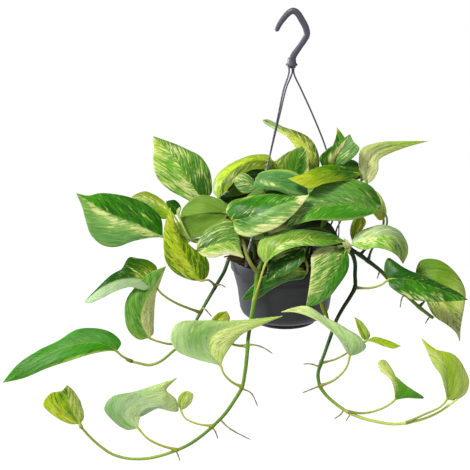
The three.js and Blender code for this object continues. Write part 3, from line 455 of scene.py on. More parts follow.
def blade(surface, leaf, coat):
    """A blade: rows of points from the left margin to the midrib to the right one,
    P(s, w) = rib(s) + |w| (margin(s) - rib(s)) + n h, along the normal n. The height h is
    half (BULGE sin(pi |w|) + RIPPLE waves |w|^3 + SWELL swells sin(pi |w|)) less the furrows of the veins,
    where waves and swells are sines with the coat's own phases. Rows lie closer near base and tip. A row's
    upper points, then its lower points the other way, are one ring of a closed surface."""
    t = np.linspace(0, 1, BLADE_ROWS + 1)
    s = 0.6 * t + 0.2 * (1 - np.cos(np.pi * t))
    w = np.linspace(-1, 1, BLADE_COLUMNS + 1)
    down = s[:, None]
    out, side = np.abs(w), np.sign(w)
    middle = leaf.rib.at(s)[:, None]
    margin = np.where((w < 0)[None, :, None], leaf.left.at(s)[:, None], leaf.right.at(s)[:, None])
    reach = margin - middle
    half = np.linalg.norm(reach, axis=2)
    flat = middle + out[None, :, None] * reach
    normal = unit(np.cross(np.gradient(flat, axis=1), np.gradient(flat, axis=0)))
    away = half * out
    along = down * leaf.rib.length - away * (VEIN_SLANT + VEIN_CURVE * out)
    phases = np.random.default_rng(coat.seed).uniform(0, 2 * np.pi, 3)

    def wave(turns, phase):
        return np.sin(2 * np.pi * turns + phases[phase])

    waves = wave(2.3 * down + 0.2 * side, 0) + 0.6 * wave(4.7 * down - 0.3 * side, 1)
    swells = wave(1.7 * down + 0.9 * w, 1) * wave(1.1 * w - 0.8 * down, 2)
    furrows = np.cos(2 * np.pi * along / VEIN_PITCH + phases[2])
    height = BULGE * half * np.sin(np.pi * out) + RIPPLE * half * waves * out**3
    height = height + SWELL * half * swells * np.sin(np.pi * out)
    height = height - FURROW * furrows * np.sin(np.pi * out**0.7) * np.clip(half / 0.02, 0, 1)
    thick = BLADE_THICKNESS / 2 * (1 - MARGIN_THINNING * out**6)
    centre = flat + normal * height[..., None]
    upper, lower = centre + normal * thick[:, None], centre - normal * thick[:, None]
    rings = np.concatenate([upper, lower[:, ::-1]], axis=1)[1:-1]
    points, quads, tris = closed_rings(rings, flat[0, 0], flat[-1, 0])

    def around(values):
        """A value for each ring point, then for the two poles, from one for each point of the grid."""
        turned = np.concatenate([values, values[:, ::-1]], axis=1)[1:-1].reshape(-1, values.shape[2])
        return np.concatenate([turned, values[0, :1], values[-1, :1]])

    edge = np.minimum(half * (1 - out), (down * 0.5 + 0.002 / leaf.rib.length) * leaf.rib.length)
    vein = np.stack([along, away * side, edge], axis=2) / MM
    tone, marble = coat.paint(s, w)
    columns = 2 * (BLADE_COLUMNS + 1)
    kind = np.where(np.arange(columns) > BLADE_COLUMNS, UNDER, UPPER)
    kind[-1] = UPPER
    surface.add(points, quads, tris, (np.tile(kind, len(rings) - 1), np.tile(kind, 2)),
                vein=around(vein), tone=around(tone), marble=around(marble))


def leafstalk(surface, leaf, shoot, coat, colours):
    """A leafstalk: from a sheath on the stem through its places to the blade, where it swells into a short
    joint, and on under the blade as the ridge of its midrib."""
    start = shoot.line.at(shoot.line.nearest(leaf.stalk[0]))
    across = leaf.right.at(0.3) - leaf.left.at(0.3)
    under = unit(np.cross(leaf.rib.at(0.14) - leaf.rib.at(0.06), across)) * MM
    ridge_shares = np.array([0.01, 0.14, 0.35, 0.6, 0.85])
    ridge_depths = np.array([0.4, 1, 0.8, 0.6, 0.4])
    ridge = leaf.rib.at(ridge_shares) + under * ridge_depths[:, None]
    line = Line([start, *leaf.stalk[1:], *ridge])
    t = np.linspace(0, 1, max(30, int(line.length / 0.002)))
    joint = line.nearest(ridge[0])
    free = np.clip(t / joint, 0, 1)
    ridge_taper = 0.75 * np.clip((1 - t) / (1 - joint), 0, 1) ** 1.6 + 0.05
    radius = leaf.stalk_radius * np.where(t < joint, 1 - 0.25 * free, ridge_taper)
    radius = radius + SHEATH * np.exp(-((t * line.length / SHEATH_LENGTH) ** 2))
    radius = radius + JOINT * np.exp(-(((t - joint * 0.96) * line.length / JOINT_LENGTH) ** 2))
    base, top = colours
    tint = base + (top - base) * free[:, None] ** 0.8
    blade_tone = (TONES[coat.tone[0]] + TONES[coat.tone[1]]) / 2
    tint = tint + (blade_tone - tint) * np.clip((t[:, None] - joint) / (1 - joint) * 6, 0, 1)
    add_tube(surface, line, t, radius, 12, tint, BARK)


def add_tube(surface, line, t, radius, sides, tint, kind):
    """Adds a tube along a line, with its length in mm and its turn as vein coordinates and a tint a ring."""
    points, quads, tris = tube(line.at(t), radius, sides)
    along = t * line.length / MM
    turn = np.arange(sides) / sides
    zero = np.zeros(sides * len(along))
    vein = np.stack([np.repeat(along, sides), np.tile(turn, len(along)), zero], axis=1)
    vein = np.concatenate([vein, [[along[0], 0, 0], [along[-1], 0, 0]]])
    tone = np.concatenate([np.repeat(tint, sides, axis=0), tint[:1], tint[-1:]])
    tone = np.concatenate([tone, np.ones((len(tone), 1))], axis=1)
    kinds = np.full(len(quads), kind), np.full(len(tris), kind)
    surface.add(points, quads, tris, kinds, vein=vein, tone=tone)


def stem(surface, shoot, colours):
    """A shoot's stem: a tube that thins toward its tip, swollen at each leaf, with a narrow scar just before
    it. Its colours are stops, (share, display colour), along it."""
    line = shoot.line
    t = np.linspace(0, 1, int(line.length / 0.0016))
    swell = np.zeros_like(t)
    for leaf in shoot.leaves.values():
        gap = (t - line.nearest(leaf.stalk[0])) * line.length
        node = NODE_SWELL * np.exp(-((gap / NODE_LENGTH) ** 2))
        swell += node - SCAR * np.exp(-(((gap + SCAR_TO_LEAF) / SCAR_LENGTH) ** 2))
    uneven = 1 + 0.025 * np.sin(t * line.length / 0.009)
    radius = shoot.radius_at(t) * (1 + np.clip(swell, -0.15, 0.25)) * uneven
    stops = np.array([share for share, _ in colours])
    shades = np.array([colour(*shade) for _, shade in colours])
    tint = np.stack([np.interp(t, stops, shades[:, k]) for k in range(3)], axis=1)
    add_tube(surface, line, t, radius, 16, tint, BARK)


def aerial_root(surface, shoot, places):
    """An aerial root: a thin spike that bends away from the stem, with a blunt tip and uneven thickness."""
    line = Line([shoot.line.at(shoot.line.nearest(places[0])), *places])
    t = np.linspace(0, 1, 28)
    uneven = 1 + 0.12 * np.sin(17 * t)
    radius = AERIAL_ROOT_RADIUS * (1 - 0.55 * t) * uneven * np.sqrt(np.clip((1 - t) * 12, 0.02, 1))
    tint = ROOT_BASE + (ROOT_TIP - ROOT_BASE) * t[:, None]
    add_tube(surface, line, t, radius, 8, tint, ROOT)


# Colours of the leaves

TONES = {
    # Painted shade: "shadow" is darker than any leaf's own green and stands in for the shade deep in the
    # crown
    "shadow": colour(20, 44, 6),
    "deep": colour(18, 78, 2),
    "dark": colour(38, 108, 6),
    "green": colour(60, 144, 4),
    "mid": colour(84, 148, 30),
    "bright": colour(106, 174, 26),
    "fern": colour(94, 142, 10),
    "moss": colour(72, 110, 6),
    "grey": colour(122, 170, 80),
    "mist": colour(162, 198, 112),
    "blue": colour(80, 140, 70),
    "lime": colour(156, 188, 10),
    "yellow": colour(200, 212, 50),
    "olive": colour(120, 140, 14),
    "pale": colour(172, 206, 84),
    "cream": colour(222, 228, 132),
    # Painted light: "light" is brighter than the leaves' own cream and is laid on cream parts that lie in
    # shade
    "light": colour(252, 252, 176),
    "frost": colour(170, 202, 136),
    "ash": colour(160, 188, 142),
    # Painted light: this grey-green is brighter than the leaves' own, for leaves that face away from the key
    # lamp
    "painted_light_mint": colour(196, 228, 160),
    # Painted light: "glow" is a brighter lime than the leaves' own, laid on shaded parts to stand in for
    # light there
    "glow": colour(226, 244, 118),
    "bark": colour(96, 72, 36),
}
ROOT_BASE = colour(124, 110, 60)
ROOT_TIP = colour(84, 66, 50)


class Coat:
    """A leaf's colours. Tone, cream, dark and grey are given for the left half and the right: a ground tone,
    and the shares of cream, of dark green and of grey-green marbling. A patch, (what, s, w, length, width,
    strength), lays a tone, or with + or - adds to or takes from a share, round share s of the length and w
    of the half width. `stalk` gives the leafstalk colours of its own, at the stem and at the blade."""

    SEAM = 0.012  # how soon past the midrib the colours of one half give way to the other's
    SPILL = 0.03  # how soon past the midrib a patch of one half ends
    WHOLE = 1.5  # a patch as wide as this lies on both halves
    seeds = 0

    def __init__(self, tone, cream, dark, grey=(0, 0), patches=(), stalk=None):
        Coat.seeds += 1
        self.seed = Coat.seeds
        self.tone, self.cream, self.dark, self.grey = tone, cream, dark, grey
        self.patches, self.stalk = patches, stalk

    def paint(self, s, w):
        """Tone and shares at each point of a blade's grid."""
        s, w = s[:, None], w[None, :]
        right = 1 / (1 + np.exp(-w / self.SEAM)) + 0 * s

        def across(pair):
            left_value, right_value = (np.asarray(value, float) for value in pair)
            share = right[..., None] if left_value.ndim else right
            return left_value + (right_value - left_value) * share

        tone = across([TONES[name] for name in self.tone])
        shares = {name: across(getattr(self, name)) for name in ("cream", "dark", "grey")}
        for what, at_s, at_w, length, width, strength in self.patches:
            near = np.exp(-(((s - at_s) / length) ** 2) - ((w - at_w) / width) ** 2) * strength
            if width < self.WHOLE:
                near = near * np.exp(-np.maximum(-w * np.sign(at_w), 0) / self.SPILL)
            if what.startswith("+"):
                shares[what[1:]] = shares[what[1:]] + near
            elif what.startswith("-"):
                shares[what[1:]] = shares[what[1:]] - near
            else:
                tone = tone + (TONES[what] - tone) * np.clip(near, 0, 1)[..., None]
        seed = np.full(right.shape, (self.seed * 0.618) % 1)
        marble = np.stack([shares["cream"], shares["dark"], seed, shares["grey"]], axis=2)
        return np.concatenate([tone, np.ones((*right.shape, 1))], axis=2), marble


# Shoots. Every place is read in the front view.

SHOOTS = {
    "vine_left": Shoot(
        root=(-40, 22), radius=2.6, end=0.55,
        path=[(243, 246, 16), (235, 250, 15), (229, 259, 18), (224, 272, 28), (217, 284, 40), (207, 301, 51),
              (198, 317, 59), (190, 332, 64), (181, 344, 68), (172, 352, 70), (161, 361, 72), (150, 365, 73),
              (138, 363, 73), (126, 360, 73)],
        roots=[[(222, 285, 54), (226, 288, 56)], [(205, 309, 60), (212, 317, 62)]],
        yellow=Leaf(
            stalk=[(217, 284, 52), (208, 280, 57)],
            rib=[(200, 281, 56), (190, 264, 56), (178, 240, 52), (170, 207, 46)],
            left=[(190, 280, 60), (175, 273, 62), (166, 262, 60), (163.5, 246, 56), (164, 228, 50)],
            right=[(207, 277, 50), (209, 264, 46), (204, 255, 44), (192, 247, 44), (182, 237, 44),
                   (175, 222, 45)],
        ),
        shade=Leaf(
            stalk=[(199, 312, 60), (176, 303, 62), (162, 294, 64)],
            rib=[(153, 283, 66), (138, 279, 72), (120, 280, 80), (103, 287, 88), (84, 302, 94)],
            left=[(146, 290, 76), (130, 287, 84), (115, 291.5, 92), (100, 299, 98), (90, 303, 98)],
            right=[(157, 267, 50), (149, 261, 48), (138, 258.5, 50), (129, 257.5, 54), (124, 267, 62),
                   (112, 274.5, 74)],
        ),
        hanging=Leaf(
            stalk=[(185, 341, 67), (172, 344, 72), (160, 342, 74)],
            rib=[(149, 338, 74), (141, 322, 78), (145, 302, 76), (155, 285, 70), (166, 266, 66)],
            left=[(139, 339.5, 78), (128, 330, 80), (124.5, 315, 80), (126, 300, 78), (135, 287, 74),
                  (150, 273, 70)],
            right=[(153.5, 333, 66), (154, 317, 62), (155, 300, 60), (160, 283, 60)],
        ),
        pointer=Leaf(
            stalk=[(132, 361, 73), (122, 356, 74)],
            rib=[(117, 351, 74), (98, 343, 80), (66, 347, 90), (34, 362, 98), (2, 383, 104)],
            left=[(108, 351, 82), (92, 354, 90), (72, 360, 98), (48, 368, 104), (24, 378, 106)],
            right=[(121, 343, 66), (113, 333.5, 62), (96, 328, 60), (79, 329, 66), (58, 341, 76),
                   (38, 350.5, 86), (18, 364, 96)],
        ),
    ),
    "vine_front": Shoot(
        root=(-20, 38), radius=2.7, end=0.55,
        path=[(268, 252, 44), (265, 256, 54), (261, 264, 64), (257, 275, 69), (256, 289, 73), (254, 303, 77),
              (251, 320, 82), (248, 340, 90), (247, 355, 97), (245, 372, 104), (242, 387, 109),
              (234, 401, 113), (224, 415, 117), (213, 426, 120), (200, 437, 122), (188, 445, 123),
              (177, 450, 123), (163, 455, 122), (150, 458, 120), (137, 459, 117), (125, 458, 114),
              (112, 454, 111), (100, 446, 108), (90, 437, 106), (81, 427, 104)],
        roots=[[(255, 345, 96), (264, 348, 98), (273, 354, 100)], [(251, 393, 112), (258, 407, 114)],
               [(229, 428, 122), (251, 440, 124)], [(215, 431, 122), (218, 439, 123)],
               [(178, 455, 125), (180, 461, 126)]],
        rim=Leaf(
            stalk=[(254, 301, 86), (259, 284, 92)],
            rib=[(265, 264, 92), (280, 246, 94), (302, 239, 88), (326, 240, 76), (346, 241.5, 64)],
            left=[(257.5, 253, 88), (260, 241, 80), (273, 233.5, 74), (291, 229, 68), (310, 230.5, 62),
                  (330, 233.5, 58)],
            right=[(269, 260, 99), (283, 251, 100), (301, 246, 95), (325, 246, 82)],
        ),
        fan=Leaf(
            stalk=[(257, 272, 82), (251, 264, 75), (246, 253, 68), (243.5, 243, 61), (236, 237, 56),
                   (222, 241, 60), (208, 248, 69)],
            stalk_radius=2.4,
            rib=[(196.5, 250.5, 77), (208, 247, 79), (221, 243, 76), (233, 245, 73), (244, 258, 74)],
            left=[(198, 241, 74), (206, 230, 66), (217, 222, 59), (228, 219, 56), (235.5, 225, 59),
                  (239, 237, 65), (241, 249, 70)],
            right=[(203, 256, 80), (214, 257.5, 82), (226, 254.5, 79), (236, 256, 76)],
        ),
        pale=Leaf(
            stalk=[(242, 387, 109), (232, 382, 115), (224, 374, 119)],
            rib=[(221, 366, 119), (209, 350, 115), (213, 335, 108), (238, 325, 99), (283, 316, 88)],
            left=[(213, 363.5, 123), (196, 359, 124), (177, 351, 122), (170, 337, 116), (176, 324, 108),
                  (196, 320, 102), (222, 323, 97), (250, 320, 92)],
            right=[(224, 357, 112), (232, 345, 105), (243, 334, 100), (262, 325, 94)],
        ),
        bud=Leaf(
            stalk=[(248, 346, 95), (235, 345, 86), (220, 338, 80)],
            rib=[(213, 327, 80), (218, 319, 84), (227, 311, 84)],
            left=[(211, 321, 84), (218, 313, 86)],
            right=[(223, 327, 80), (230, 319, 80)],
        ),
        opening=Leaf(
            stalk=[(81, 427, 104)],
            rib=[(80, 424, 105), (70, 408, 109), (67, 385, 106)],
            left=[(70, 424, 112), (54, 416, 116), (43, 404, 114), (51, 393, 110), (61, 391, 107)],
            right=[(84, 417, 100), (80, 401, 97), (73, 390, 101)],
        ),
        grey=Leaf(
            stalk=[(177, 450, 123), (160, 445, 128), (147, 438, 131)],
            rib=[(138, 428, 130), (125, 413, 128), (138, 400, 120), (157, 389, 110), (177, 378, 98)],
            left=[(127, 430, 134), (113, 421, 134), (104, 408, 130), (113, 396, 122), (130, 393, 114),
                  (152, 386, 104)],
            right=[(140, 418, 124), (147, 414, 118), (160, 408, 112), (178, 411, 106), (176, 399, 102),
                   (166, 391, 102)],
        ),
        small=Leaf(
            stalk=[(213, 426, 120), (198, 424, 122), (185, 418, 122)],
            rib=[(181, 410, 121), (181, 400, 121), (188, 391, 119)],
            left=[(178, 405, 123), (178.5, 397, 122), (183, 392, 120)],
            right=[(186, 408, 119), (192, 401, 117), (193, 394, 117)],
            stalk_radius=1.2,
        ),
    ),
    "vine_right": Shoot(
        root=(40, 20), radius=2.7, end=0.55,
        path=[(328, 248, 26), (337, 247, 27), (346, 249, 29), (352, 254, 32), (355, 263, 35), (355, 275, 39),
              (355, 287, 43), (350, 297, 50), (343, 308, 58), (336, 321, 66), (330, 338, 75), (325, 352, 82),
              (321, 363, 86), (318, 374, 90), (320, 386, 94), (326, 395, 97), (336, 404, 100),
              (348, 412, 102), (362, 418, 103), (378, 422, 103), (393, 424, 102), (406, 423, 101),
              (420, 420, 99), (433, 415, 97), (445, 408, 96), (457, 399, 95)],
        roots=[[(311, 364, 90), (303, 364, 92)], [(312, 389, 97), (302, 393, 99)],
               [(341, 414, 104), (334, 419, 106)], [(349, 416, 103), (346, 421, 104)]],
        cream=Leaf(
            stalk=[(337, 247, 27), (343, 246, 35)],
            rib=[(351, 245, 40), (370, 238, 46), (389, 236, 46), (400, 246, 40), (403, 264, 34)],
            left=[(355, 236, 30), (367, 228, 26), (383, 225, 24), (398, 230, 24), (407, 242, 26),
                  (407.5, 254, 30)],
            right=[(362, 249.5, 50), (378, 248, 56), (391, 251.5, 54), (399, 258, 44)],
        ),
        marbled=Leaf(
            stalk=[(346, 249, 29), (350, 247, 44)],
            rib=[(346, 250, 60), (338, 268, 78), (324, 290, 91), (306, 306, 94)],
            left=[(349, 258, 62), (347.5, 271, 72), (339, 285, 83), (328, 298, 91), (316, 305, 94)],
            right=[(334, 246, 64), (320, 247, 72), (311.5, 255, 79), (311, 272, 88), (309, 288, 93)],
        ),
        dark=Leaf(
            stalk=[(355, 288, 43), (370, 288, 50), (381, 285, 54)],
            rib=[(389, 279, 56), (410, 280, 60), (438, 289, 58), (468, 300, 50)],
            left=[(384, 270, 48), (388, 258, 42), (400, 266, 42), (420, 274, 42), (443, 285, 44),
                  (458, 292, 46)],
            right=[(389, 285, 62), (397, 292, 68), (410, 299, 70), (428, 301.5, 68), (450, 301.5, 60)],
        ),
        young=Leaf(
            stalk=[(321, 363, 86), (336, 359, 84), (352, 350, 80)],
            rib=[(367, 340, 78), (385, 343, 80), (401, 346, 80)],
            left=[(374, 337, 74), (386, 339.5, 76)],
            right=[(374, 342.5, 82), (393, 348.5, 84)],
            stalk_radius=1.2,
        ),
        rolled=Leaf(
            stalk=[(321, 363, 86), (336, 359, 84), (352, 350, 80), (362, 343, 78)],
            rib=[(367, 341, 77), (362, 330, 76), (354.5, 317, 76)],
            left=[(362, 338, 80), (358, 329, 80)],
            right=[(370, 335, 72), (362, 322, 72)],
            stalk_radius=1.2,
        ),
        arrow=Leaf(
            stalk=[(320, 386, 94), (334, 380, 101), (346, 368, 107)],
            rib=[(350, 356, 107), (346, 342, 110), (328, 326, 110), (305, 311.5, 110), (281, 312, 112)],
            left=[(346, 351, 112), (337, 337, 116), (322, 323.5, 116), (306, 315.5, 114), (293, 312, 113)],
            right=[(357, 354, 100), (366, 347, 96), (360, 337, 96), (346, 328, 100), (326, 317.5, 102),
                   (307, 306, 106), (292, 308, 110)],
        ),
        twisted=Leaf(
            stalk=[(348, 412, 102), (365, 413, 105), (383, 408, 107)],
            rib=[(395, 400, 107), (396, 384, 107), (380, 360, 100)],
            left=[(394, 389, 111), (390, 379, 110), (380, 370, 106), (377.5, 363, 102)],
            right=[(408, 398, 102), (424, 398, 98), (409, 389, 100), (399, 382, 102), (392, 369, 100),
                   (385, 360, 99)],
        ),
        last=Leaf(
            stalk=[(406, 423, 101), (425, 414, 102), (440, 407, 101)],
            rib=[(447, 400, 100), (447, 380, 102), (444, 362, 100), (421, 338, 92)],
            left=[(445, 390, 106), (441, 376, 108), (433, 364, 106), (427, 351, 100)],
            right=[(456, 400, 92), (466, 393, 86), (468.5, 380, 84), (463, 365, 86), (452, 353.5, 90),
                   (438, 351, 93)],
        ),
    ),
    "vine_far_right": Shoot(
        root=(46, 2), radius=2.8, end=0.75,
        path=[(334, 245, 7), (343, 243, 9), (352, 250, 10), (360, 255, 10), (368, 261, 10), (376, 267, 9),
              (383, 273, 8), (390, 281, 7), (398, 288, 6), (408, 297, 5), (419, 307, 4), (433, 318, 3)],
        roots=[[(379, 273, 12), (377, 279, 14)], [(402, 298, 8), (400, 308, 10)],
               [(428, 319, 4), (425, 324, 6)]],
        great=Leaf(
            stalk=[(368, 261, 10), (372, 249, 13), (382, 236, 14), (387, 223, 18), (385, 214, 25)],
            rib=[(379, 211, 30), (352, 205, 44), (322, 207, 58), (300, 216, 66), (284, 228, 68)],
            left=[(370, 215, 38), (354, 219.5, 50), (336, 221, 60), (316, 220, 68), (298, 224, 70)],
            right=[(381, 202, 20), (374, 189, 22), (362, 181.5, 28), (345, 178, 33), (328, 181, 40),
                   (313, 190, 50), (302, 204, 60)],
        ),
        behind_great=Leaf(
            stalk=[(360, 255, 10), (370, 244, 4), (381, 231, 4)],
            rib=[(384, 220, 8), (377, 205, 6), (366, 191, 2)],
            left=[(379, 220, 12), (371, 210, 12), (366, 199, 8)],
            right=[(386.5, 212, 4), (384, 202, 0), (376, 191, -2)],
        ),
        round=Leaf(
            stalk=[(419, 307, 4), (425, 300, -2)],
            rib=[(426, 290, -4), (445, 304, 4), (455, 322, 10), (460, 342, 12)],
            left=[(416, 277, -12), (420, 261, -16), (437, 259.5, -16), (455, 272, -12), (466, 293, -6),
                  (463, 312, 2), (460.5, 328, 8)],
            right=[(426, 300, 0), (434, 316, 8), (447, 325, 12), (456, 333, 13)],
        ),
    ),
    "crown_left": Shoot(
        root=(-36, -2), radius=2.4,
        path=[(250, 238, 2), (240, 228, 6), (224, 224, 12), (206, 224, 17), (190, 225, 20), (176, 228, 24)],
        far_left=Leaf(
            stalk=[(176, 228, 24), (170, 234, 34)],
            rib=[(163, 237, 42), (140, 226, 50), (108, 213, 58), (76, 193, 60)],
            left=[(150, 238, 50), (134, 241, 58), (116, 247, 66), (102, 245, 68), (91, 235, 66),
                  (86, 222, 64), (82, 207, 62)],
            right=[(161, 219, 34), (150, 206, 38), (136, 199, 44), (118, 194.5, 50), (100, 193, 54),
                   (88, 195.5, 58)],
        ),
        olive_edge=Leaf(
            stalk=[(190, 225, 20), (183, 228, 26)],
            rib=[(172, 213, 26), (152, 203, 22), (128, 200, 18)],
            left=[(166, 219, 26), (150, 214, 26), (137, 207, 22)],
            right=[(166, 203.5, 18), (155, 195, 14), (146, 191.5, 12), (136, 194, 13)],
        ),
        upright=Leaf(
            stalk=[(206, 224, 17), (208, 212, 17)],
            rib=[(203, 199, 18), (190, 183, 20), (176, 160, 16), (153, 136, 8)],
            left=[(196, 203, 22), (182, 197, 24), (168, 189, 26), (158, 179, 24), (153, 164, 20),
                  (153.5, 149, 14)],
            right=[(211, 194, 14), (212, 182, 12), (208, 167, 10), (200, 156, 8), (188, 149.5, 6),
                   (170, 142, 6)],
        ),
        back_of_round=Leaf(
            stalk=[(224, 224, 12), (232, 220, 22), (234, 216, 32)],
            rib=[(228, 213, 38), (206, 213, 42), (180, 217, 38)],
            left=[(224, 204, 32), (214, 197, 28), (202, 195, 26), (191, 200, 28), (183, 208, 32)],
            right=[(222, 224, 44), (210, 230, 46), (199, 237, 46), (190, 238, 44), (182, 228, 41)],
        ),
        tuft=Leaf(
            stalk=[(190, 225, 20), (185, 220, 15)],
            rib=[(179, 215, 12), (174, 207, 10), (166, 201, 8)],
            left=[(173, 214, 14), (167, 207, 13)],
            right=[(181, 207, 9), (175, 200, 7)],
            stalk_radius=1.2,
        ),
    ),
    "crown_front": Shoot(
        root=(-14, 16), radius=2.4,
        path=[(268, 238, 34), (258, 228, 48), (248, 222, 54), (240, 222, 58)],
        middle=Leaf(
            stalk=[(240, 222, 58), (236, 223, 62)],
            rib=[(233, 221, 72), (252, 216, 78), (280, 205, 78), (309, 195, 68)],
            left=[(226, 212, 66), (230, 203, 60), (246, 197, 56), (264, 194, 56), (282, 195, 58),
                  (297, 196, 64)],
            right=[(236, 232, 76), (247, 237, 82), (263, 233, 86), (278, 227, 86), (291, 217, 82),
                   (301, 206, 75)],
        ),
        blue=Leaf(
            stalk=[(258, 228, 48), (256, 207, 38), (265, 192, 38)],
            rib=[(256, 178, 52), (275, 183, 56), (290, 190, 54), (308, 195, 50)],
            left=[(260, 173, 47), (275, 169.5, 44), (290, 170.5, 43), (302, 177, 44), (307, 186, 46)],
            right=[(254, 186, 54), (264, 189, 57), (278, 191, 57), (292, 196, 54)],
        ),
        speckled=Leaf(
            stalk=[(262, 232, 31), (266, 212, 22), (266, 198, 20)],
            rib=[(259, 188, 22), (246, 183, 24), (233, 181, 24)],
            left=[(251, 192, 28), (243, 193, 29), (237, 188, 27)],
            right=[(252, 178, 18), (244, 173, 18), (237, 176, 20)],
        ),
    ),
    "crown_right": Shoot(
        root=(22, 12), radius=2.4,
        path=[(312, 238, 14), (322, 226, 12), (333, 213, 8), (344, 202, 2), (353, 196, -4)],
        lime=Leaf(
            stalk=[(344, 202, 2), (356, 191, 1), (361, 181, 6)],
            rib=[(361, 174, 14), (338, 171, 28), (315, 177, 48), (288, 178.5, 64)],
            left=[(352, 180, 32), (338, 181, 46), (325, 183.5, 58), (310, 188.5, 67), (299, 184, 67)],
            right=[(356, 166, 6), (343, 164.5, 12), (328, 165, 22), (313, 169, 38), (300, 175, 53)],
        ),
        cleft=Leaf(
            stalk=[(322, 226, 12), (328, 200, 8)],
            rib=[(334, 167, 12), (338, 156, 13), (345, 145, 11), (350, 134, 8)],
            left=[(324, 168, 16), (319.5, 158, 18), (326, 150, 17), (336, 143.5, 13)],
            right=[(346, 163, 17), (355, 156, 18), (359.5, 148, 16), (354, 142, 12)],
        ),
        horn=Leaf(
            stalk=[(353, 196, -4), (362, 191, -4)],
            rib=[(367, 184, 0), (367, 165, -8), (378, 151, -16), (402, 144.5, -28), (429, 141, -36)],
            left=[(361, 176, 6), (359, 160, 2), (361, 149, -4), (378, 142.5, -16), (400, 141, -28)],
            right=[(373, 180, -4), (378, 170, -10), (379, 160, -16), (391, 153, -24), (407, 147, -30)],
        ),
        hidden_strip=Leaf(
            stalk=[(333, 213, 8), (350, 212, 9)],
            rib=[(362, 215, 12), (358, 227, 15), (352, 241, 16)],
            left=[(366, 222, 18), (359, 234, 20)],
            right=[(354, 219, 8), (350, 231, 12)],
        ),
        inner_low=Leaf(
            stalk=[(317, 232, 13), (313, 223, 8)],
            rib=[(306, 216, 2), (285, 222, 4), (262, 231, 8)],
            left=[(301, 229, 6), (285, 236, 8), (270, 237, 9)],
            right=[(298, 207, -2), (280, 211, 0), (268, 221, 4)],
        ),
    ),
    "crown_low": Shoot(
        root=(8, 44), radius=2.3,
        path=[(291, 258, 56), (297, 255, 67), (303, 257, 76)],
        under_rim=Leaf(
            stalk=[(297, 255, 67), (304, 251, 72)],
            rib=[(304, 248, 75), (290, 261, 84), (278, 272, 87), (266, 282, 86)],
            left=[(305, 258, 84), (297, 268, 90), (285, 275, 90), (275, 278, 88)],
            right=[(294, 248, 72), (281, 252, 76), (271, 261, 80), (267, 272, 84)],
        ),
        along_pot=Leaf(
            stalk=[(303, 257, 76), (307, 264, 80)],
            rib=[(307, 273, 76), (285, 280, 71), (262, 289, 62), (241, 300, 52)],
            left=[(303, 278.5, 74), (288, 281, 69), (272, 289, 62), (256, 299, 56)],
            right=[(302, 268, 77), (284, 268, 75), (266, 275, 67), (253, 285, 60)],
        ),
    ),
    "crown_back": Shoot(
        root=(-8, -22), radius=2.3,
        path=[(281, 222, -20), (282, 200, -16), (284, 184, -12)],
        arched=Leaf(
            stalk=[(282, 200, -16), (280, 178, -12)],
            rib=[(273, 161, -6), (255, 160, 0), (236, 168, 6), (222, 182, 12), (218, 199, 14)],
            left=[(268, 168, 2), (252, 170, 8), (238, 178, 14), (229, 188, 18)],
            right=[(268, 155, -14), (252, 155.5, -12), (235, 161, -10), (222, 170, -6), (214, 181, 0),
                   (213, 191, 8)],
        ),
        upper=Leaf(
            stalk=[(284, 188, -12), (290, 186, -8)],
            rib=[(292, 180, -6), (297, 161, -6), (302, 146, -9)],
            left=[(282, 171, -2), (284, 160, -4), (293, 150, -7)],
            right=[(307, 176, -4), (309, 162, -6), (307, 151, -8)],
        ),
        under_arch=Leaf(
            stalk=[(282, 200, -16), (277, 199, -20)],
            rib=[(270, 196, -23), (245, 194, -25), (219, 198, -26)],
            left=[(262, 203, -22), (242, 206, -23), (228, 204, -24)],
            right=[(264, 187, -26), (246, 184, -28), (230, 189, -28)],
        ),
        inner_left=Leaf(
            stalk=[(281, 222, -20), (273, 221, -17)],
            rib=[(264, 220, -14), (244, 221, -13), (224, 222, -10)],
            left=[(256, 231, -10), (240, 236, -9), (228, 230, -8)],
            right=[(256, 210, -16), (240, 209, -15), (228, 214, -12)],
        ),
    ),
    "crown_back_right": Shoot(
        root=(18, -28), radius=2.3,
        path=[(304, 220, -30), (310, 200, -30), (316, 184, -30)],
        stretched=Leaf(
            stalk=[(316, 184, -30), (317, 176, -28)],
            rib=[(312.5, 175, -25), (311, 152, -30), (298, 138, -38), (280, 129.5, -46), (262, 120, -52)],
            left=[(304, 175, -21), (302, 160, -24), (295, 147, -32), (288, 138, -38), (276, 130.5, -46),
                  (264, 123, -51)],
            right=[(319, 167, -31), (317, 149, -36), (310, 138.5, -40), (300, 132.5, -44), (284, 127, -48),
                   (267, 119, -51)],
        ),
        peak=Leaf(
            stalk=[(315, 186, -30), (328, 180, -28)],
            rib=[(337, 167, -26), (340, 150, -26), (337, 127, -30)],
            left=[(329, 163, -24), (332, 148, -26), (336, 136, -29)],
            right=[(348, 162, -24), (350, 147, -26), (343, 135, -29)],
        ),
        dark_top=Leaf(
            stalk=[(310, 200, -30), (345, 194, -30)],
            rib=[(364, 177, -16), (350, 168, -10), (337, 164, -6)],
            left=[(354, 180, -6), (343, 172, -2)],
            right=[(358, 163, -20), (347, 159, -14)],
        ),
    ),
    "back_left": Shoot(
        root=(-28, -26), radius=2.4,
        path=[(266, 228, -34), (262, 218, -50), (256, 214, -62)],
        outer=Leaf(
            stalk=[(256, 214, -62)],
            base=(234, 210, -62), tip=(206, 214, -132), face=(-0.2, -0.3, 0.95), width=62, arch=8,
        ),
        upper=Leaf(
            stalk=[(262, 218, -50)],
            base=(250, 200, -74), tip=(246, 198, -150), face=(0, -0.35, 0.95), width=62, arch=8,
        ),
        side=Leaf(
            stalk=[(266, 228, -34), (256, 224, -30)],
            base=(228, 214, -32), tip=(192, 216, -84), face=(-0.3, 0, 0.95), width=56, arch=8,
        ),
        top=Leaf(
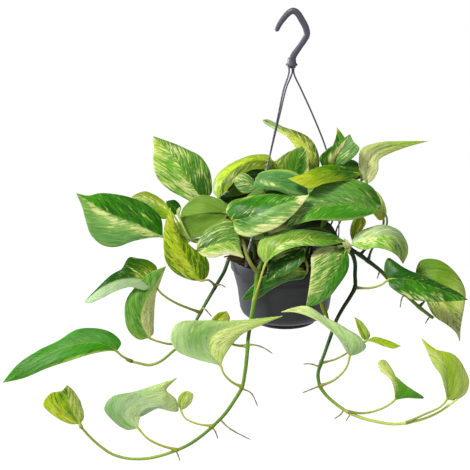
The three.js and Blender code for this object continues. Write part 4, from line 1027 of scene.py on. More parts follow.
            stalk=[(262, 220, -48)],
            base=(248, 188, -58), tip=(238, 178, -112), face=(0, -0.3, 0.95), width=54, arch=8,
        ),
    ),
    "back_trailer": Shoot(
        root=(0, -40), radius=2.4, end=0.55,
        path=[(284, 226, -58), (284, 219, -72), (284, 224, -86), (284, 240, -93), (285, 258, -94),
              (286, 274, -92)],
        first=Leaf(
            stalk=[(284, 224, -84)],
            base=(303, 214, -94), tip=(316, 228, -172), face=(0.1, -0.4, 0.9), width=62, arch=10,
        ),
        second=Leaf(
            stalk=[(284, 238, -92)],
            base=(264, 240, -104), tip=(254, 274, -150), face=(-0.3, -0.7, 0.6), width=54, arch=6,
        ),
        third=Leaf(
            stalk=[(285, 256, -94)],
            base=(302, 262, -104), tip=(310, 296, -136), face=(0.3, -0.8, 0.5), width=50, arch=6,
        ),
        fourth=Leaf(
            stalk=[(286, 274, -92)],
            base=(283, 286, -96), tip=(276, 318, -110), face=(-0.1, -0.9, 0.3), width=40, arch=5,
        ),
    ),
    "back_right": Shoot(
        root=(32, -24), radius=2.4,
        path=[(316, 228, -36), (324, 220, -46), (330, 216, -54)],
        outer=Leaf(
            stalk=[(330, 216, -54)],
            base=(342, 210, -64), tip=(366, 214, -136), face=(0.2, -0.3, 0.95), width=62, arch=8,
        ),
        upper=Leaf(
            stalk=[(324, 220, -46)],
            base=(322, 198, -72), tip=(330, 194, -146), face=(0, -0.35, 0.95), width=58, arch=8,
        ),
        side=Leaf(
            stalk=[(320, 224, -41)],
            base=(346, 214, -34), tip=(384, 214, -82), face=(0.3, 0, 0.95), width=54, arch=8,
        ),
    ),
}

# Small leaves, stalks and dry sheaths inside the crown and over the rim, with no solids of their own.
# Several of the leaves are coloured near black as painted shade in the crown's gaps

INNER_SHOOTS = {
    "crown_inner": Shoot(
        root=(6, -6), radius=1.8,
        path=[(292, 238, -2), (294, 222, 0), (292, 206, 4)],
        band=Leaf(
            stalk=[(292, 206, 4), (301, 202, 20)],
            rib=[(301, 197, 36), (285, 193, 36), (266, 192, 36), (245, 198, 36)],
            left=[(292, 190, 32), (276, 187, 31), (257, 189, 32)],
            right=[(289, 200, 40), (272, 201, 42), (254, 203, 41)],
        ),
        olive_fold=Leaf(
            stalk=[(292, 206, 4), (276, 188, -14)],
            rib=[(268, 178, -20), (276, 169, -20), (287, 160, -18), (299, 149, -16)],
            left=[(268, 167, -22), (278, 159, -20), (290, 151, -18)],
            right=[(276, 178, -18), (289, 170, -16), (298, 160, -14)],
        ),
        under_arch_green=Leaf(
            stalk=[(292, 206, 4), (276, 190, -12)],
            rib=[(267, 180, -14), (257, 173, -14), (246, 171, -12), (237, 175, -10)],
            left=[(261, 186, -12), (250, 183, -10), (241, 181, -9)],
            right=[(264, 168, -18), (252, 163, -18), (241, 166, -16)],
        ),
        brown_back=Leaf(
            stalk=[(292, 238, -2), (284, 243, -6)],
            rib=[(277, 240, -8), (256, 240, -8), (234, 243, -6)],
            left=[(268, 228, -12), (246, 227, -10)],
            right=[(266, 251, -6), (246, 250, -4)],
        ),
        arch_shade=Leaf(
            stalk=[(292, 206, 4), (268, 194, -8)],
            rib=[(250, 191, -4), (238, 187, -2), (227, 190, 0)],
            left=[(241, 195, -2), (232, 196, 0)],
            right=[(241, 181, -6), (231, 182, -4)],
        ),
        rim_shade=Leaf(
            stalk=[(294, 222, 0), (288, 232, 8)],
            rib=[(285, 235, 16), (304, 229, 16), (322, 229, 14), (339, 238, 10)],
            left=[(293, 225, 12), (310, 220, 10), (328, 222, 8)],
            right=[(296, 240, 20), (312, 240, 20), (328, 240, 14)],
        ),
    ),
    "crown_left_inner": Shoot(
        root=(-44, 2), radius=1.6, end=0.8,
        path=[(243, 240, 14), (228, 237, 22), (212, 237, 30), (200, 240, 36)],
        marbled_back=Leaf(
            stalk=[(200, 240, 36), (196, 242, 32)],
            rib=[(192, 241, 30), (182, 233, 30), (173, 223, 30)],
            left=[(184, 244, 30), (173, 235, 30)],
            right=[(190, 231, 28), (180, 222, 28)],
        ),
        bud_by_round=Leaf(
            stalk=[(200, 240, 36), (190, 238, 48), (183, 226, 50), (178, 215, 48)],
            rib=[(177.5, 213, 48), (178.5, 210, 48), (180, 207, 48)],
            left=[(176.5, 211.5, 48), (177.5, 209, 48)],
            right=[(179, 212.5, 48), (180.5, 210, 48)],
            stalk_radius=1.3,
        ),
    ),
    "stalk_near_right_arm": Shoot(
        root=(36, 6), radius=1.3, end=0.8,
        path=[(330, 246, 0), (329, 232, -2), (333, 219, -4)],
        pale_sheath=Leaf(
            stalk=[(330, 246, 0), (340, 252, 30)],
            rib=[(349, 253, 44), (346, 246, 48), (344, 238, 50)],
            left=[(345, 249, 48), (342.5, 243, 50)],
            right=[(351, 247, 44), (348, 241, 47)],
            stalk_radius=0.8,
        ),
    ),
    "stalk_beside_arm": Shoot(
        root=(42, -4), radius=1.2, end=0.8,
        path=[(338, 244, -6), (336, 232, -8), (341, 220, -10)],
    ),
    "stalk_over_rim": Shoot(
        root=(26, 44), radius=1.5, end=0.9,
        path=[(311, 266, 56), (313, 270, 66), (316, 281, 71), (319, 293, 69), (322, 304, 66),
              (328, 318, 62)],
        brown_sheath=Leaf(
            stalk=[(321, 299, 67), (321, 300, 69)],
            rib=[(321, 301, 69), (324, 309, 68), (329, 320, 64)],
            left=[(320, 305, 69), (324.5, 315, 67)],
            right=[(324, 305, 67), (328, 314, 65)],
            stalk_radius=0.6,
        ),
    ),
    "dry_stalk_at_left_rim": Shoot(
        root=(-48, 26), radius=1.4, end=0.6,
        path=[(243, 257, 32), (236, 256, 36), (229, 256, 38), (224, 257, 40)],
        dry_sheath=Leaf(
            stalk=[(243, 257, 32), (243, 258, 34)],
            rib=[(243, 260, 35), (236, 260, 37), (226, 258, 41)],
            left=[(241, 263, 36), (234, 262.5, 38)],
            right=[(240, 256.5, 36), (233, 256, 38)],
            stalk_radius=0.6,
        ),
    ),
}


# The coat of each leaf, as the front view shows it

COATS = {
    "vine_left": {
        "yellow": Coat(
            tone=("lime", "lime"), cream=(0.12, 0.02), dark=(0.3, 0.42),
            patches=[("yellow", 0.92, 0, 0.22, 2, 1), ("+dark", 0.25, -0.9, 0.25, 0.25, 0.5),
                     ("yellow", 0.3, -0.5, 0.3, 0.4, 0.6), ("yellow", 0.4, -0.1, 0.5, 0.12, 0.8),
                     ("+dark", 0.25, 0.5, 0.2, 0.5, 0.3)],
        ),
        "shade": Coat(
            tone=("ash", "deep"), cream=(-0.1, -0.15), dark=(-0.4, 0.4), grey=(0.1, 0),
            patches=[("lime", 0.1, 0.4, 0.16, 0.7, 0.7), ("+cream", 0.12, 0.5, 0.16, 0.6, 0.45),
                     ("-dark", 0.1, 0.4, 0.16, 0.7, 0.2), ("+cream", 0.4, 0.3, 0.16, 0.3, 0.35)],
        ),
        # Painted light: the right half's "glow" ground and "light" patch brighten a flap that lies in shade
        "hanging": Coat(
            tone=("mid", "glow"), cream=(-0.15, 0.45), dark=(0.15, 0), grey=(0.5, 0),
            patches=[("light", 0.2, 0.5, 0.3, 1, 0.9), ("+dark", 0.3, 0.5, 0.3, 1, 0.25),
                     ("lime", 0.12, -0.8, 0.14, 0.5, 0.9), ("green", 0.2, -0.3, 0.15, 0.5, 0.8),
                     ("green", 0.5, -0.9, 0.5, 0.25, 0.6), ("+cream", 0.12, -0.8, 0.16, 0.4, 0.35),
                     ("lime", 0.8, 0.5, 0.2, 0.6, 0.5)],
        ),
        "pointer": Coat(
            tone=("green", "green"), cream=(-0.4, -0.4), dark=(0.2, 0.15), grey=(-0.2, 0),
            patches=[("blue", 0.3, 0.4, 0.25, 0.7, 0.7), ("grey", 0.42, 0.1, 0.22, 0.3, 0.4),
                     ("pale", 0.3, -0.95, 0.3, 0.12, 0.9), ("dark", 0.75, 0, 0.3, 2, 0.7)],
        ),
    },
    "vine_front": {
        "rim": Coat(
            tone=("mid", "bright"), cream=(0.15, 0.35), dark=(0.1, 0), grey=(0.35, 0.2),
            patches=[("pale", 0.1, -0.5, 0.22, 1, 0.8), ("dark", 0.85, -0.3, 0.25, 0.9, 0.8),
                     ("dark", 0.85, 0.4, 0.22, 0.8, 0.7), ("+dark", 0.8, -0.3, 0.25, 0.9, 0.35),
                     ("olive", 0.5, -0.2, 0.35, 0.25, 0.7), ("-cream", 0.85, 0, 0.2, 2, 0.3),
                     ("+cream", 0.3, 0.1, 0.15, 0.4, 0.3)],
        ),
        "fan": Coat(
            tone=("mid", "pale"), cream=(0.22, 0.5), dark=(0.25, 0.05), grey=(0.45, 0.15),
            patches=[("+dark", 0.2, -0.3, 0.3, 0.35, 0.5), ("+cream", 0.1, -0.7, 0.15, 0.4, 0.3),
                     ("blue", 0.55, -0.6, 0.3, 0.4, 0.7), ("bright", 0.45, 0.35, 0.3, 0.4, 0.8),
                     ("-cream", 0.45, 0.3, 0.25, 0.3, 0.3), ("cream", 0.95, 0, 0.12, 2, 0.7),
                     ("+cream", 0.6, 0.9, 0.6, 0.3, 0.5), ("olive", 0.45, -0.97, 0.2, 0.2, 0.5)],
            stalk=((132, 138, 46), (84, 78, 26)),
        ),
        "pale": Coat(
            tone=("frost", "pale"), cream=(0, 0.35), dark=(-0.4, -0.1), grey=(0.1, 0.15),
            patches=[("blue", 0.35, -0.5, 0.22, 0.35, 0.5), ("mid", 0.35, -0.35, 0.09, 0.22, 0.6),
                     ("pale", 0.8, -0.5, 0.3, 1, 0.7), ("+cream", 0.3, 0.4, 0.3, 0.5, 0.3),
                     ("+cream", 0.7, -0.2, 0.25, 0.4, 0.35)],
        ),
        "bud": Coat(tone=("lime", "yellow"), cream=(0.25, 0.4), dark=(0.15, 0)),
        "opening": Coat(
            tone=("lime", "lime"), cream=(0.15, 0.45), dark=(0.28, 0.05),
            patches=[("+dark", 0.92, 0, 0.15, 2, 0.4), ("yellow", 0.35, -0.6, 0.3, 0.35, 1),
                     ("green", 0.3, -0.1, 0.25, 0.15, 0.8), ("green", 0.75, -0.3, 0.14, 0.3, 0.6)],
        ),
        # Painted light: a brighter grey-green ground stands in for light on this leaf, which faces away from
        # the key lamp
        "grey": Coat(
            tone=("painted_light_mint", "painted_light_mint"), cream=(0, 0.2), dark=(-0.4, -0.3), grey=(0.25, 0),
            patches=[("ash", 0.35, 0, 0.4, 2, 0.8), ("pale", 0.95, 0, 0.2, 2, 0.7),
                     ("mid", 0.12, -0.45, 0.16, 0.14, 0.8), ("+cream", 0.75, 0.7, 0.3, 0.4, 0.3),
                     ("blue", 0.35, -0.85, 0.3, 0.4, 0.7), ("+cream", 0.8, -0.2, 0.2, 0.4, 0.3)],
        ),
        "small": Coat(
            tone=("lime", "pale"), cream=(0.3, 0.4), dark=(0.1, 0),
            patches=[("yellow", 0.5, -0.3, 0.4, 0.3, 0.7)],
        ),
    },
    "vine_right": {
        "cream": Coat(
            tone=("ash", "bright"), cream=(0.35, 0.35), dark=(0, 0.1), grey=(0.1, 0.2),
            patches=[("+dark", 0.75, 0.15, 0.13, 0.5, 0.5), ("green", 0.78, -0.35, 0.2, 0.25, 0.9),
                     ("+dark", 0.6, 0.4, 0.1, 0.3, 0.4), ("+dark", 0.85, -0.9, 0.25, 0.2, 0.8),
                     ("+cream", 0.2, 0.1, 0.2, 0.6, 0.25), ("lime", 0.95, 0, 0.2, 2, 0.8),
                     ("-cream", 0.8, -0.3, 0.15, 0.2, 0.5)],
        ),
        "marbled": Coat(
            tone=("green", "mid"), cream=(-0.15, 0.45), dark=(0.3, 0.2), grey=(0.1, 0.4),
            patches=[("+dark", 0.03, 0.6, 0.1, 0.6, 0.9), ("-cream", 0.03, 0.6, 0.1, 0.6, 0.6),
                     ("mid", 0.75, 0.3, 0.25, 1, 0.8), ("+grey", 0.75, 0, 0.25, 2, 0.5),
                     ("-cream", 0.8, 0.4, 0.25, 0.6, 0.3), ("-cream", 0.45, 0.15, 0.25, 0.1, 0.3),
                     ("+cream", 0.15, 0.95, 0.6, 0.1, 0.5), ("green", 0.35, 0.2, 0.3, 0.2, 0.6)],
        ),
        "dark": Coat(
            tone=("dark", "green"), cream=(0, 0.12), dark=(0.6, 0.5), grey=(0.2, 0.2),
            patches=[("+cream", 0.35, 0.85, 0.35, 0.22, 0.4), ("pale", 0.5, -0.95, 0.6, 0.12, 0.7),
                     ("+dark", 0.08, 0, 0.12, 2, 0.4), ("-cream", 0.08, 0, 0.12, 2, 0.3),
                     ("+cream", 0.6, 0.4, 0.1, 0.3, 0.3), ("-cream", 0.85, 0.3, 0.15, 0.6, 0.3)],
        ),
        "young": Coat(tone=("lime", "lime"), cream=(0.15, 0.2), dark=(0.25, 0.2)),
        "rolled": Coat(
            tone=("lime", "pale"), cream=(0.1, 0.2), dark=(0, 0),
            patches=[("dark", 0.15, 0, 0.12, 2, 0.5)],
        ),
        # Painted light: a brighter grey-green ground stands in for light on this leaf, which faces away from
        # the key lamp
        "arrow": Coat(
            tone=("painted_light_mint", "painted_light_mint"), cream=(-0.2, -0.1), dark=(-0.5, -0.5), grey=(-0.3, -0.3),
            patches=[("pale", 0.5, 0.2, 0.3, 0.3, 0.4), ("bright", 0.12, 0.5, 0.14, 0.5, 0.3),
                     ("cream", 0.92, 0, 0.2, 2, 0.7)],
        ),
        "twisted": Coat(
            tone=("cream", "green"), cream=(0.3, -0.3), dark=(-0.3, 0), grey=(0, -0.2),
            patches=[("cream", 0.8, 0.3, 0.28, 2, 0.6), ("-dark", 0.8, 0.3, 0.28, 2, 0.4),
                     ("bright", 0.15, 0.4, 0.15, 1, 0.6)],
        ),
        "last": Coat(
            tone=("pale", "lime"), cream=(0.35, 0.1), dark=(0, -0.3), grey=(0.1, 0.1),
            patches=[("yellow", 0.9, 0, 0.2, 2, 0.7), ("bright", 0.4, 0.4, 0.3, 0.4, 0.5),
                     ("glow", 0.25, 0.85, 0.4, 0.5, 0.7)],
        ),
    },
    "vine_far_right": {
        "great": Coat(
            tone=("green", "mid"), cream=(-0.05, -0.05), dark=(0.1, 0.1), grey=(0.25, 0.45),
            patches=[("+cream", 0.35, 0.08, 0.12, 0.2, 0.4), ("+cream", 0.22, 0.6, 0.06, 0.2, 0.5),
                     ("+dark", 0.13, 0.7, 0.16, 0.35, 0.6), ("-grey", 0.13, 0.7, 0.16, 0.4, 0.6),
                     ("+cream", 0.05, 0.6, 0.03, 0.4, 0.6), ("blue", 0.6, 0.35, 0.3, 0.4, 0.7),
                     ("+cream", 0.88, -0.3, 0.2, 1, 0.45), ("+cream", 0.88, 0.3, 0.2, 1, 0.35),
                     ("pale", 0.4, -0.97, 0.7, 0.08, 0.8)],
        ),
        "behind_great": Coat(tone=("yellow", "pale"), cream=(0.3, 0.4), dark=(0, 0)),
        # Painted light: the "glow" ground and the "glow" and "light" patches brighten this leaf where it
        # lies in shade
        "round": Coat(
            tone=("fern", "glow"), cream=(-0.2, 0.3), dark=(-0.05, 0.3), grey=(0, 0.1),
            patches=[("glow", 0.65, -0.2, 0.2, 0.5, 0.7), ("light", 0.9, 0, 0.25, 2, 0.8),
                     ("+cream", 0.8, 0.5, 0.3, 0.8, 0.3), ("+cream", 0.85, -0.4, 0.25, 0.6, 0.4),
                     ("+dark", 0.8, 0, 0.25, 2, 0.5)],
        ),
    },
    "crown_left": {
        "far_left": Coat(
            tone=("grey", "green"), cream=(0.12, -0.05), dark=(-0.15, 0.55), grey=(0.2, 0),
            patches=[("+cream", 0.55, -0.14, 0.4, 0.2, 0.5), ("+cream", 0.12, -0.4, 0.15, 0.5, 0.4),
                     ("green", 0.9, 0.4, 0.16, 1, 0.8), ("-dark", 0.92, 0.4, 0.14, 1, 0.5),
                     ("+cream", 0.42, 0.45, 0.12, 0.2, 0.3), ("blue", 0.45, -0.75, 0.4, 0.3, 0.9),
                     ("-cream", 0.5, -0.7, 0.3, 0.3, 0.2)],
        ),
        "olive_edge": Coat(
            tone=("fern", "olive"), cream=(-0.05, 0.2), dark=(0, 0.1), grey=(0.2, 0.2),
            patches=[("lime", 0.1, 0, 0.25, 2, 0.7), ("+cream", 0.3, 0.2, 0.3, 0.3, 0.2)],
        ),
        "upright": Coat(
            tone=("bright", "mid"), cream=(0.42, 0.1), dark=(0.25, 0.3), grey=(0.1, 0.45),
            patches=[("+dark", 0.15, 0.4, 0.28, 0.7, 0.45), ("yellow", 0.95, -0.5, 0.2, 1, 0.7),
                     ("+cream", 0.1, -0.4, 0.2, 0.7, 0.2), ("+cream", 0.35, 0.45, 0.08, 0.3, 0.25),
                     ("+cream", 0.72, 0.5, 0.12, 0.4, 0.5), ("bright", 0.5, -0.2, 0.3, 0.2, 0.6)],
        ),
        # Painted shade: the dark moss ground and the dark patch on the lower half darken this leaf's own
        # green as the shade under the crown does
        "back_of_round": Coat(
            tone=("moss", "moss"), cream=(-0.5, -0.5), dark=(-0.08, -0.08), grey=(-0.3, -0.2),
            patches=[("fern", 0.7, -0.5, 0.3, 0.6, 0.5), ("dark", 0.5, 0.5, 0.4, 0.6, 0.35),
                     ("olive", 0.3, 0.8, 0.4, 0.4, 0.3), ("bark", 0.12, 0.75, 0.12, 0.2, 0.6)],
        ),
        "tuft": Coat(tone=("dark", "deep"), cream=(-0.2, -0.2), dark=(0.4, 0.4)),
    },
    "crown_front": {
        "middle": Coat(
            tone=("green", "grey"), cream=(0.05, 0.4), dark=(0.45, 0.12), grey=(0.1, 0.4),
            patches=[("+cream", 0.93, 0, 0.1, 2, 0.7), ("pale", 0.3, -0.97, 0.5, 0.1, 0.7),
                     ("+dark", 0.12, 0.2, 0.2, 0.4, 0.45), ("deep", 0.22, -0.2, 0.22, 0.7, 0.75),
                     ("-cream", 0.15, 0.3, 0.22, 0.5, 0.4), ("-grey", 0.2, 0, 0.25, 2, 0.3),
                     ("dark", 0.1, 0.1, 0.15, 0.4, 0.8), ("-cream", 0.55, 0.2, 0.2, 0.25, 0.3),
                     ("+cream", 0.3, 0.8, 0.4, 0.3, 0.3), ("+grey", 0.7, -0.3, 0.2, 0.4, 0.4),
                     ("blue", 0.5, 0.3, 0.3, 0.3, 0.6), ("-cream", 0.75, 0.4, 0.12, 0.5, 0.25)],
        ),
        "blue": Coat(
            tone=("blue", "blue"), cream=(-0.05, 0), dark=(0.1, 0), grey=(0.1, 0.1),
            patches=[("+cream", 0.3, 0.25, 0.22, 0.2, 0.6), ("pale", 0.4, -0.97, 0.5, 0.12, 0.8),
                     ("grey", 0.3, 0.2, 0.3, 0.4, 0.5), ("mist", 0.75, 0.3, 0.2, 0.2, 0.5)],
        ),
        "speckled": Coat(tone=("blue", "blue"), cream=(0.35, 0.3), dark=(0.3, 0.3), grey=(0.5, 0.5)),
    },
    "crown_right": {
        "lime": Coat(
            tone=("lime", "lime"), cream=(-0.05, 0.05), dark=(0.12, 0.15), grey=(0.1, 0),
            patches=[("dark", 0.22, 0.2, 0.3, 2, 0.95), ("olive", 0.6, -0.6, 0.4, 0.5, 0.5),
                     ("+dark", 0.2, 0.2, 0.25, 2, 0.6), ("yellow", 0.9, 0, 0.16, 2, 0.9),
                     ("green", 0.5, 0.7, 0.16, 0.4, 0.7)],
        ),
        "cleft": Coat(
            tone=("dark", "blue"), cream=(0, 0.05), dark=(0.3, 0.2), grey=(0.1, 0.4),
            patches=[("+cream", 0.55, -0.3, 0.5, 0.22, 0.9), ("yellow", 0.5, -0.3, 0.5, 0.3, 0.6),
                     ("+dark", 0.3, -0.9, 0.4, 0.3, 0.5)],
        ),
        # Painted light: the "light" patch brightens the base of this leaf, whose underside lies in shade
        "horn": Coat(
            tone=("pale", "pale"), cream=(0.3, 0.4), dark=(0, 0.1), grey=(0, 0.1),
            patches=[("light", 0.15, 0, 0.35, 2, 0.8), ("bright", 0.75, 0, 0.3, 2, 0.35),
                     ("lime", 0.95, 0, 0.15, 2, 0.6), ("+cream", 0.15, 0, 0.25, 2, 0.3),
                     ("-cream", 0.85, 0, 0.2, 2, 0.3), ("yellow", 0.4, 0.5, 0.3, 0.3, 0.5)],
        ),
        # Painted light: the yellow and lime ground is brighter than this leaf's own colour, to make up for
        # the shade it lies in
        "hidden_strip": Coat(tone=("yellow", "lime"), cream=(-0.1, -0.2), dark=(0.1, 0.2)),
        # Painted shade and light: the near-black ground is painted shade, and the strip of the "light" tone
        # is painted light on a pale edge that lies in shade
        "inner_low": Coat(
            tone=("shadow", "shadow"), cream=(-0.1, -0.1), dark=(0.3, 0.3), grey=(-0.3, -0.3),
            patches=[("light", 0.65, -0.5, 0.2, 0.5, 0.9), ("-dark", 0.65, -0.5, 0.2, 0.5, 0.3),
                     ("+cream", 0.65, -0.5, 0.2, 0.5, 0.5)],
        ),
    },
    "crown_low": {
        "under_rim": Coat(
            tone=("dark", "deep"), cream=(0.1, 0.15), dark=(0.5, 0.5), grey=(0.3, 0.1),
            patches=[("+cream", 0.2, 0.8, 0.4, 0.3, 0.3)],
        ),
        "along_pot": Coat(
            tone=("dark", "dark"), cream=(-0.3, -0.1), dark=(0.35, 0.4), grey=(0.1, 0),
            patches=[("pale", 0.3, -0.95, 0.4, 0.2, 0.8), ("lime", 0.12, 0.6, 0.15, 0.6, 0.8),
                     ("+cream", 0.12, 0.6, 0.12, 0.5, 0.3)],
        ),
    },
    "crown_back": {
        "arched": Coat(
            tone=("olive", "lime"), cream=(0.1, 0.2), dark=(0.3, 0.2),
            patches=[("+dark", 0.85, 0.3, 0.3, 1, 0.15), ("+dark", 0.7, -0.4, 0.3, 0.3, 0.3),
                     ("fern", 0.35, 0.8, 0.3, 0.3, 0.6), ("yellow", 0.6, 0.2, 0.3, 0.3, 0.6),
                     ("lime", 0.9, 0, 0.25, 2, 0.5)],
        ),
        "upper": Coat(
            tone=("mid", "mid"), cream=(-0.1, 0.1), dark=(0.1, 0.3), grey=(0.3, 0),
            patches=[("+dark", 0.5, 0.35, 0.6, 0.2, 0.5), ("+cream", 0.5, 0.9, 0.6, 0.2, 0.6),
                     ("olive", 0.4, -0.9, 0.5, 0.3, 0.7)],
        ),
        # Painted shade: these two leaves take the near-black "shadow" tone where the crown's interior lies
        # in shade
        "under_arch": Coat(tone=("shadow", "deep"), cream=(-0.1, 0.05), dark=(0.4, 0.4), grey=(-0.3, -0.2)),
        "inner_left": Coat(
            tone=("shadow", "shadow"), cream=(-0.1, -0.1), dark=(0.3, 0.3), grey=(-0.3, -0.3),
        ),
    },
    "crown_back_right": {
        "stretched": Coat(
            tone=("yellow", "olive"), cream=(0.35, 0.3), dark=(0.05, 0.3), grey=(0.1, 0),
            patches=[("ash", 1, 0, 0.24, 2, 1), ("-cream", 1, 0, 0.24, 2, 0.6),
                     ("+dark", 0.3, 0.9, 0.3, 0.3, 0.5), ("green", 0.1, -0.6, 0.2, 0.6, 0.8)],
        ),
        "peak": Coat(
            tone=("dark", "green"), cream=(0, 0.1), dark=(0.4, 0.3), grey=(0, 0.2),
            patches=[("yellow", 0.97, 0, 0.1, 2, 0.9)],
        ),
        "dark_top": Coat(tone=("deep", "deep"), cream=(-0.2, -0.2), dark=(0.6, 0.6)),
    },
    "back_left": {
        "outer": Coat(tone=("mid", "dark"), cream=(0.35, 0.15), dark=(0.2, 0.45), grey=(0.4, 0.2)),
        "upper": Coat(tone=("green", "pale"), cream=(0.15, 0.45), dark=(0.4, 0.1), grey=(0.2, 0.4)),
        "side": Coat(tone=("bright", "mid"), cream=(0.1, 0.2), dark=(0.2, 0.3), grey=(0.2, 0.4)),
        "top": Coat(tone=("pale", "mid"), cream=(0.45, 0.2), dark=(0.1, 0.3), grey=(0.3, 0.4)),
    },
    "back_trailer": {
        "first": Coat(tone=("dark", "mid"), cream=(0.1, 0.4), dark=(0.5, 0.2), grey=(0.2, 0.4)),
        "second": Coat(tone=("mid", "green"), cream=(0.3, 0.1), dark=(0.2, 0.4), grey=(0.4, 0.2)),
        "third": Coat(tone=("pale", "bright"), cream=(0.4, 0.15), dark=(0.1, 0.2), grey=(0.3, 0.3)),
        "fourth": Coat(tone=("lime", "bright"), cream=(0.25, 0.1), dark=(0.1, 0.3), grey=(0, 0.1)),
    },
    "back_right": {
        "outer": Coat(tone=("dark", "pale"), cream=(0.1, 0.45), dark=(0.5, 0.15), grey=(0.2, 0.4)),
        "upper": Coat(tone=("mid", "mid"), cream=(0.35, 0.2), dark=(0.2, 0.35), grey=(0.4, 0.3)),
        "side": Coat(tone=("bright", "green"), cream=(0.15, 0.1), dark=(0.2, 0.4), grey=(0.3, 0.1)),
    },
    "crown_left_inner": {
        "marbled_back": Coat(tone=("fern", "pale"), cream=(0.4, 0.4), dark=(0.35, 0.3), grey=(0.3, 0.3)),
        "bud_by_round": Coat(tone=("pale", "lime"), cream=(0.6, 0.6), dark=(0, 0)),
    },
    "crown_inner": {
        # Painted shade: band, brown_back and rim_shade take the near-black "shadow" tone where the crown's
        # interior lies in shade
        "band": Coat(
            tone=("dark", "shadow"), cream=(-0.1, -0.2), dark=(0.4, 0.4), grey=(0, -0.3),
            patches=[("lime", 0.15, 0.5, 0.2, 0.4, 0.6), ("blue", 0.5, -0.8, 0.5, 0.3, 0.6)],
        ),
        "olive_fold": Coat(
            tone=("olive", "fern"), cream=(0.15, 0), dark=(0.3, 0.3),
            patches=[("pale", 0.2, -0.5, 0.3, 0.5, 0.7)],
        ),
        "under_arch_green": Coat(tone=("blue", "dark"), cream=(0.05, -0.1), dark=(0.3, 0.4), grey=(0.1, 0)),
        "brown_back": Coat(
            tone=("shadow", "bark"), cream=(-0.3, -0.3), dark=(0.2, -0.3), grey=(-0.3, -0.3),
            patches=[("shadow", 0.4, 0, 0.3, 2, 0.6)],
        ),
        "arch_shade": Coat(tone=("fern", "dark"), cream=(0.2, 0.1), dark=(0.3, 0.4), grey=(0.1, 0)),
        "rim_shade": Coat(
            tone=("shadow", "shadow"), cream=(-0.3, -0.3), dark=(0.1, 0.1), grey=(-0.3, -0.3),
            patches=[("bark", 0.7, 0.6, 0.3, 0.5, 0.5)],
        ),
    },
    "stalk_near_right_arm": {
        "pale_sheath": Coat(tone=("cream", "light"), cream=(0.7, 0.9), dark=(-0.3, -0.3)),
    },
    "stalk_over_rim": {
        "brown_sheath": Coat(
            tone=("olive", "bark"), cream=(-0.2, -0.3), dark=(-0.2, -0.3), grey=(-0.3, -0.3),
        ),
    },
    "dry_stalk_at_left_rim": {
        "dry_sheath": Coat(tone=("bark", "bark"), cream=(-0.3, -0.3), dark=(-0.4, -0.4), grey=(-0.3, -0.3)),
    },
}

# Finishes

GREY_GREEN = solid(130, 174, 92)
DARK_GREEN = solid(18, 80, 2)
FLECK_GREEN = solid(66, 124, 18)
CREAM_GREEN = solid(180, 204, 72)
CREAM = solid(240, 242, 182)
VEIN_GREEN = solid(156, 188, 60)
RIB_GREEN = solid(156, 186, 72)
MARGIN_GREEN = solid(194, 212, 110)
UNDERSIDE_GREEN = solid(142, 174, 80)
FRECKLE_GREEN = solid(170, 184, 100)


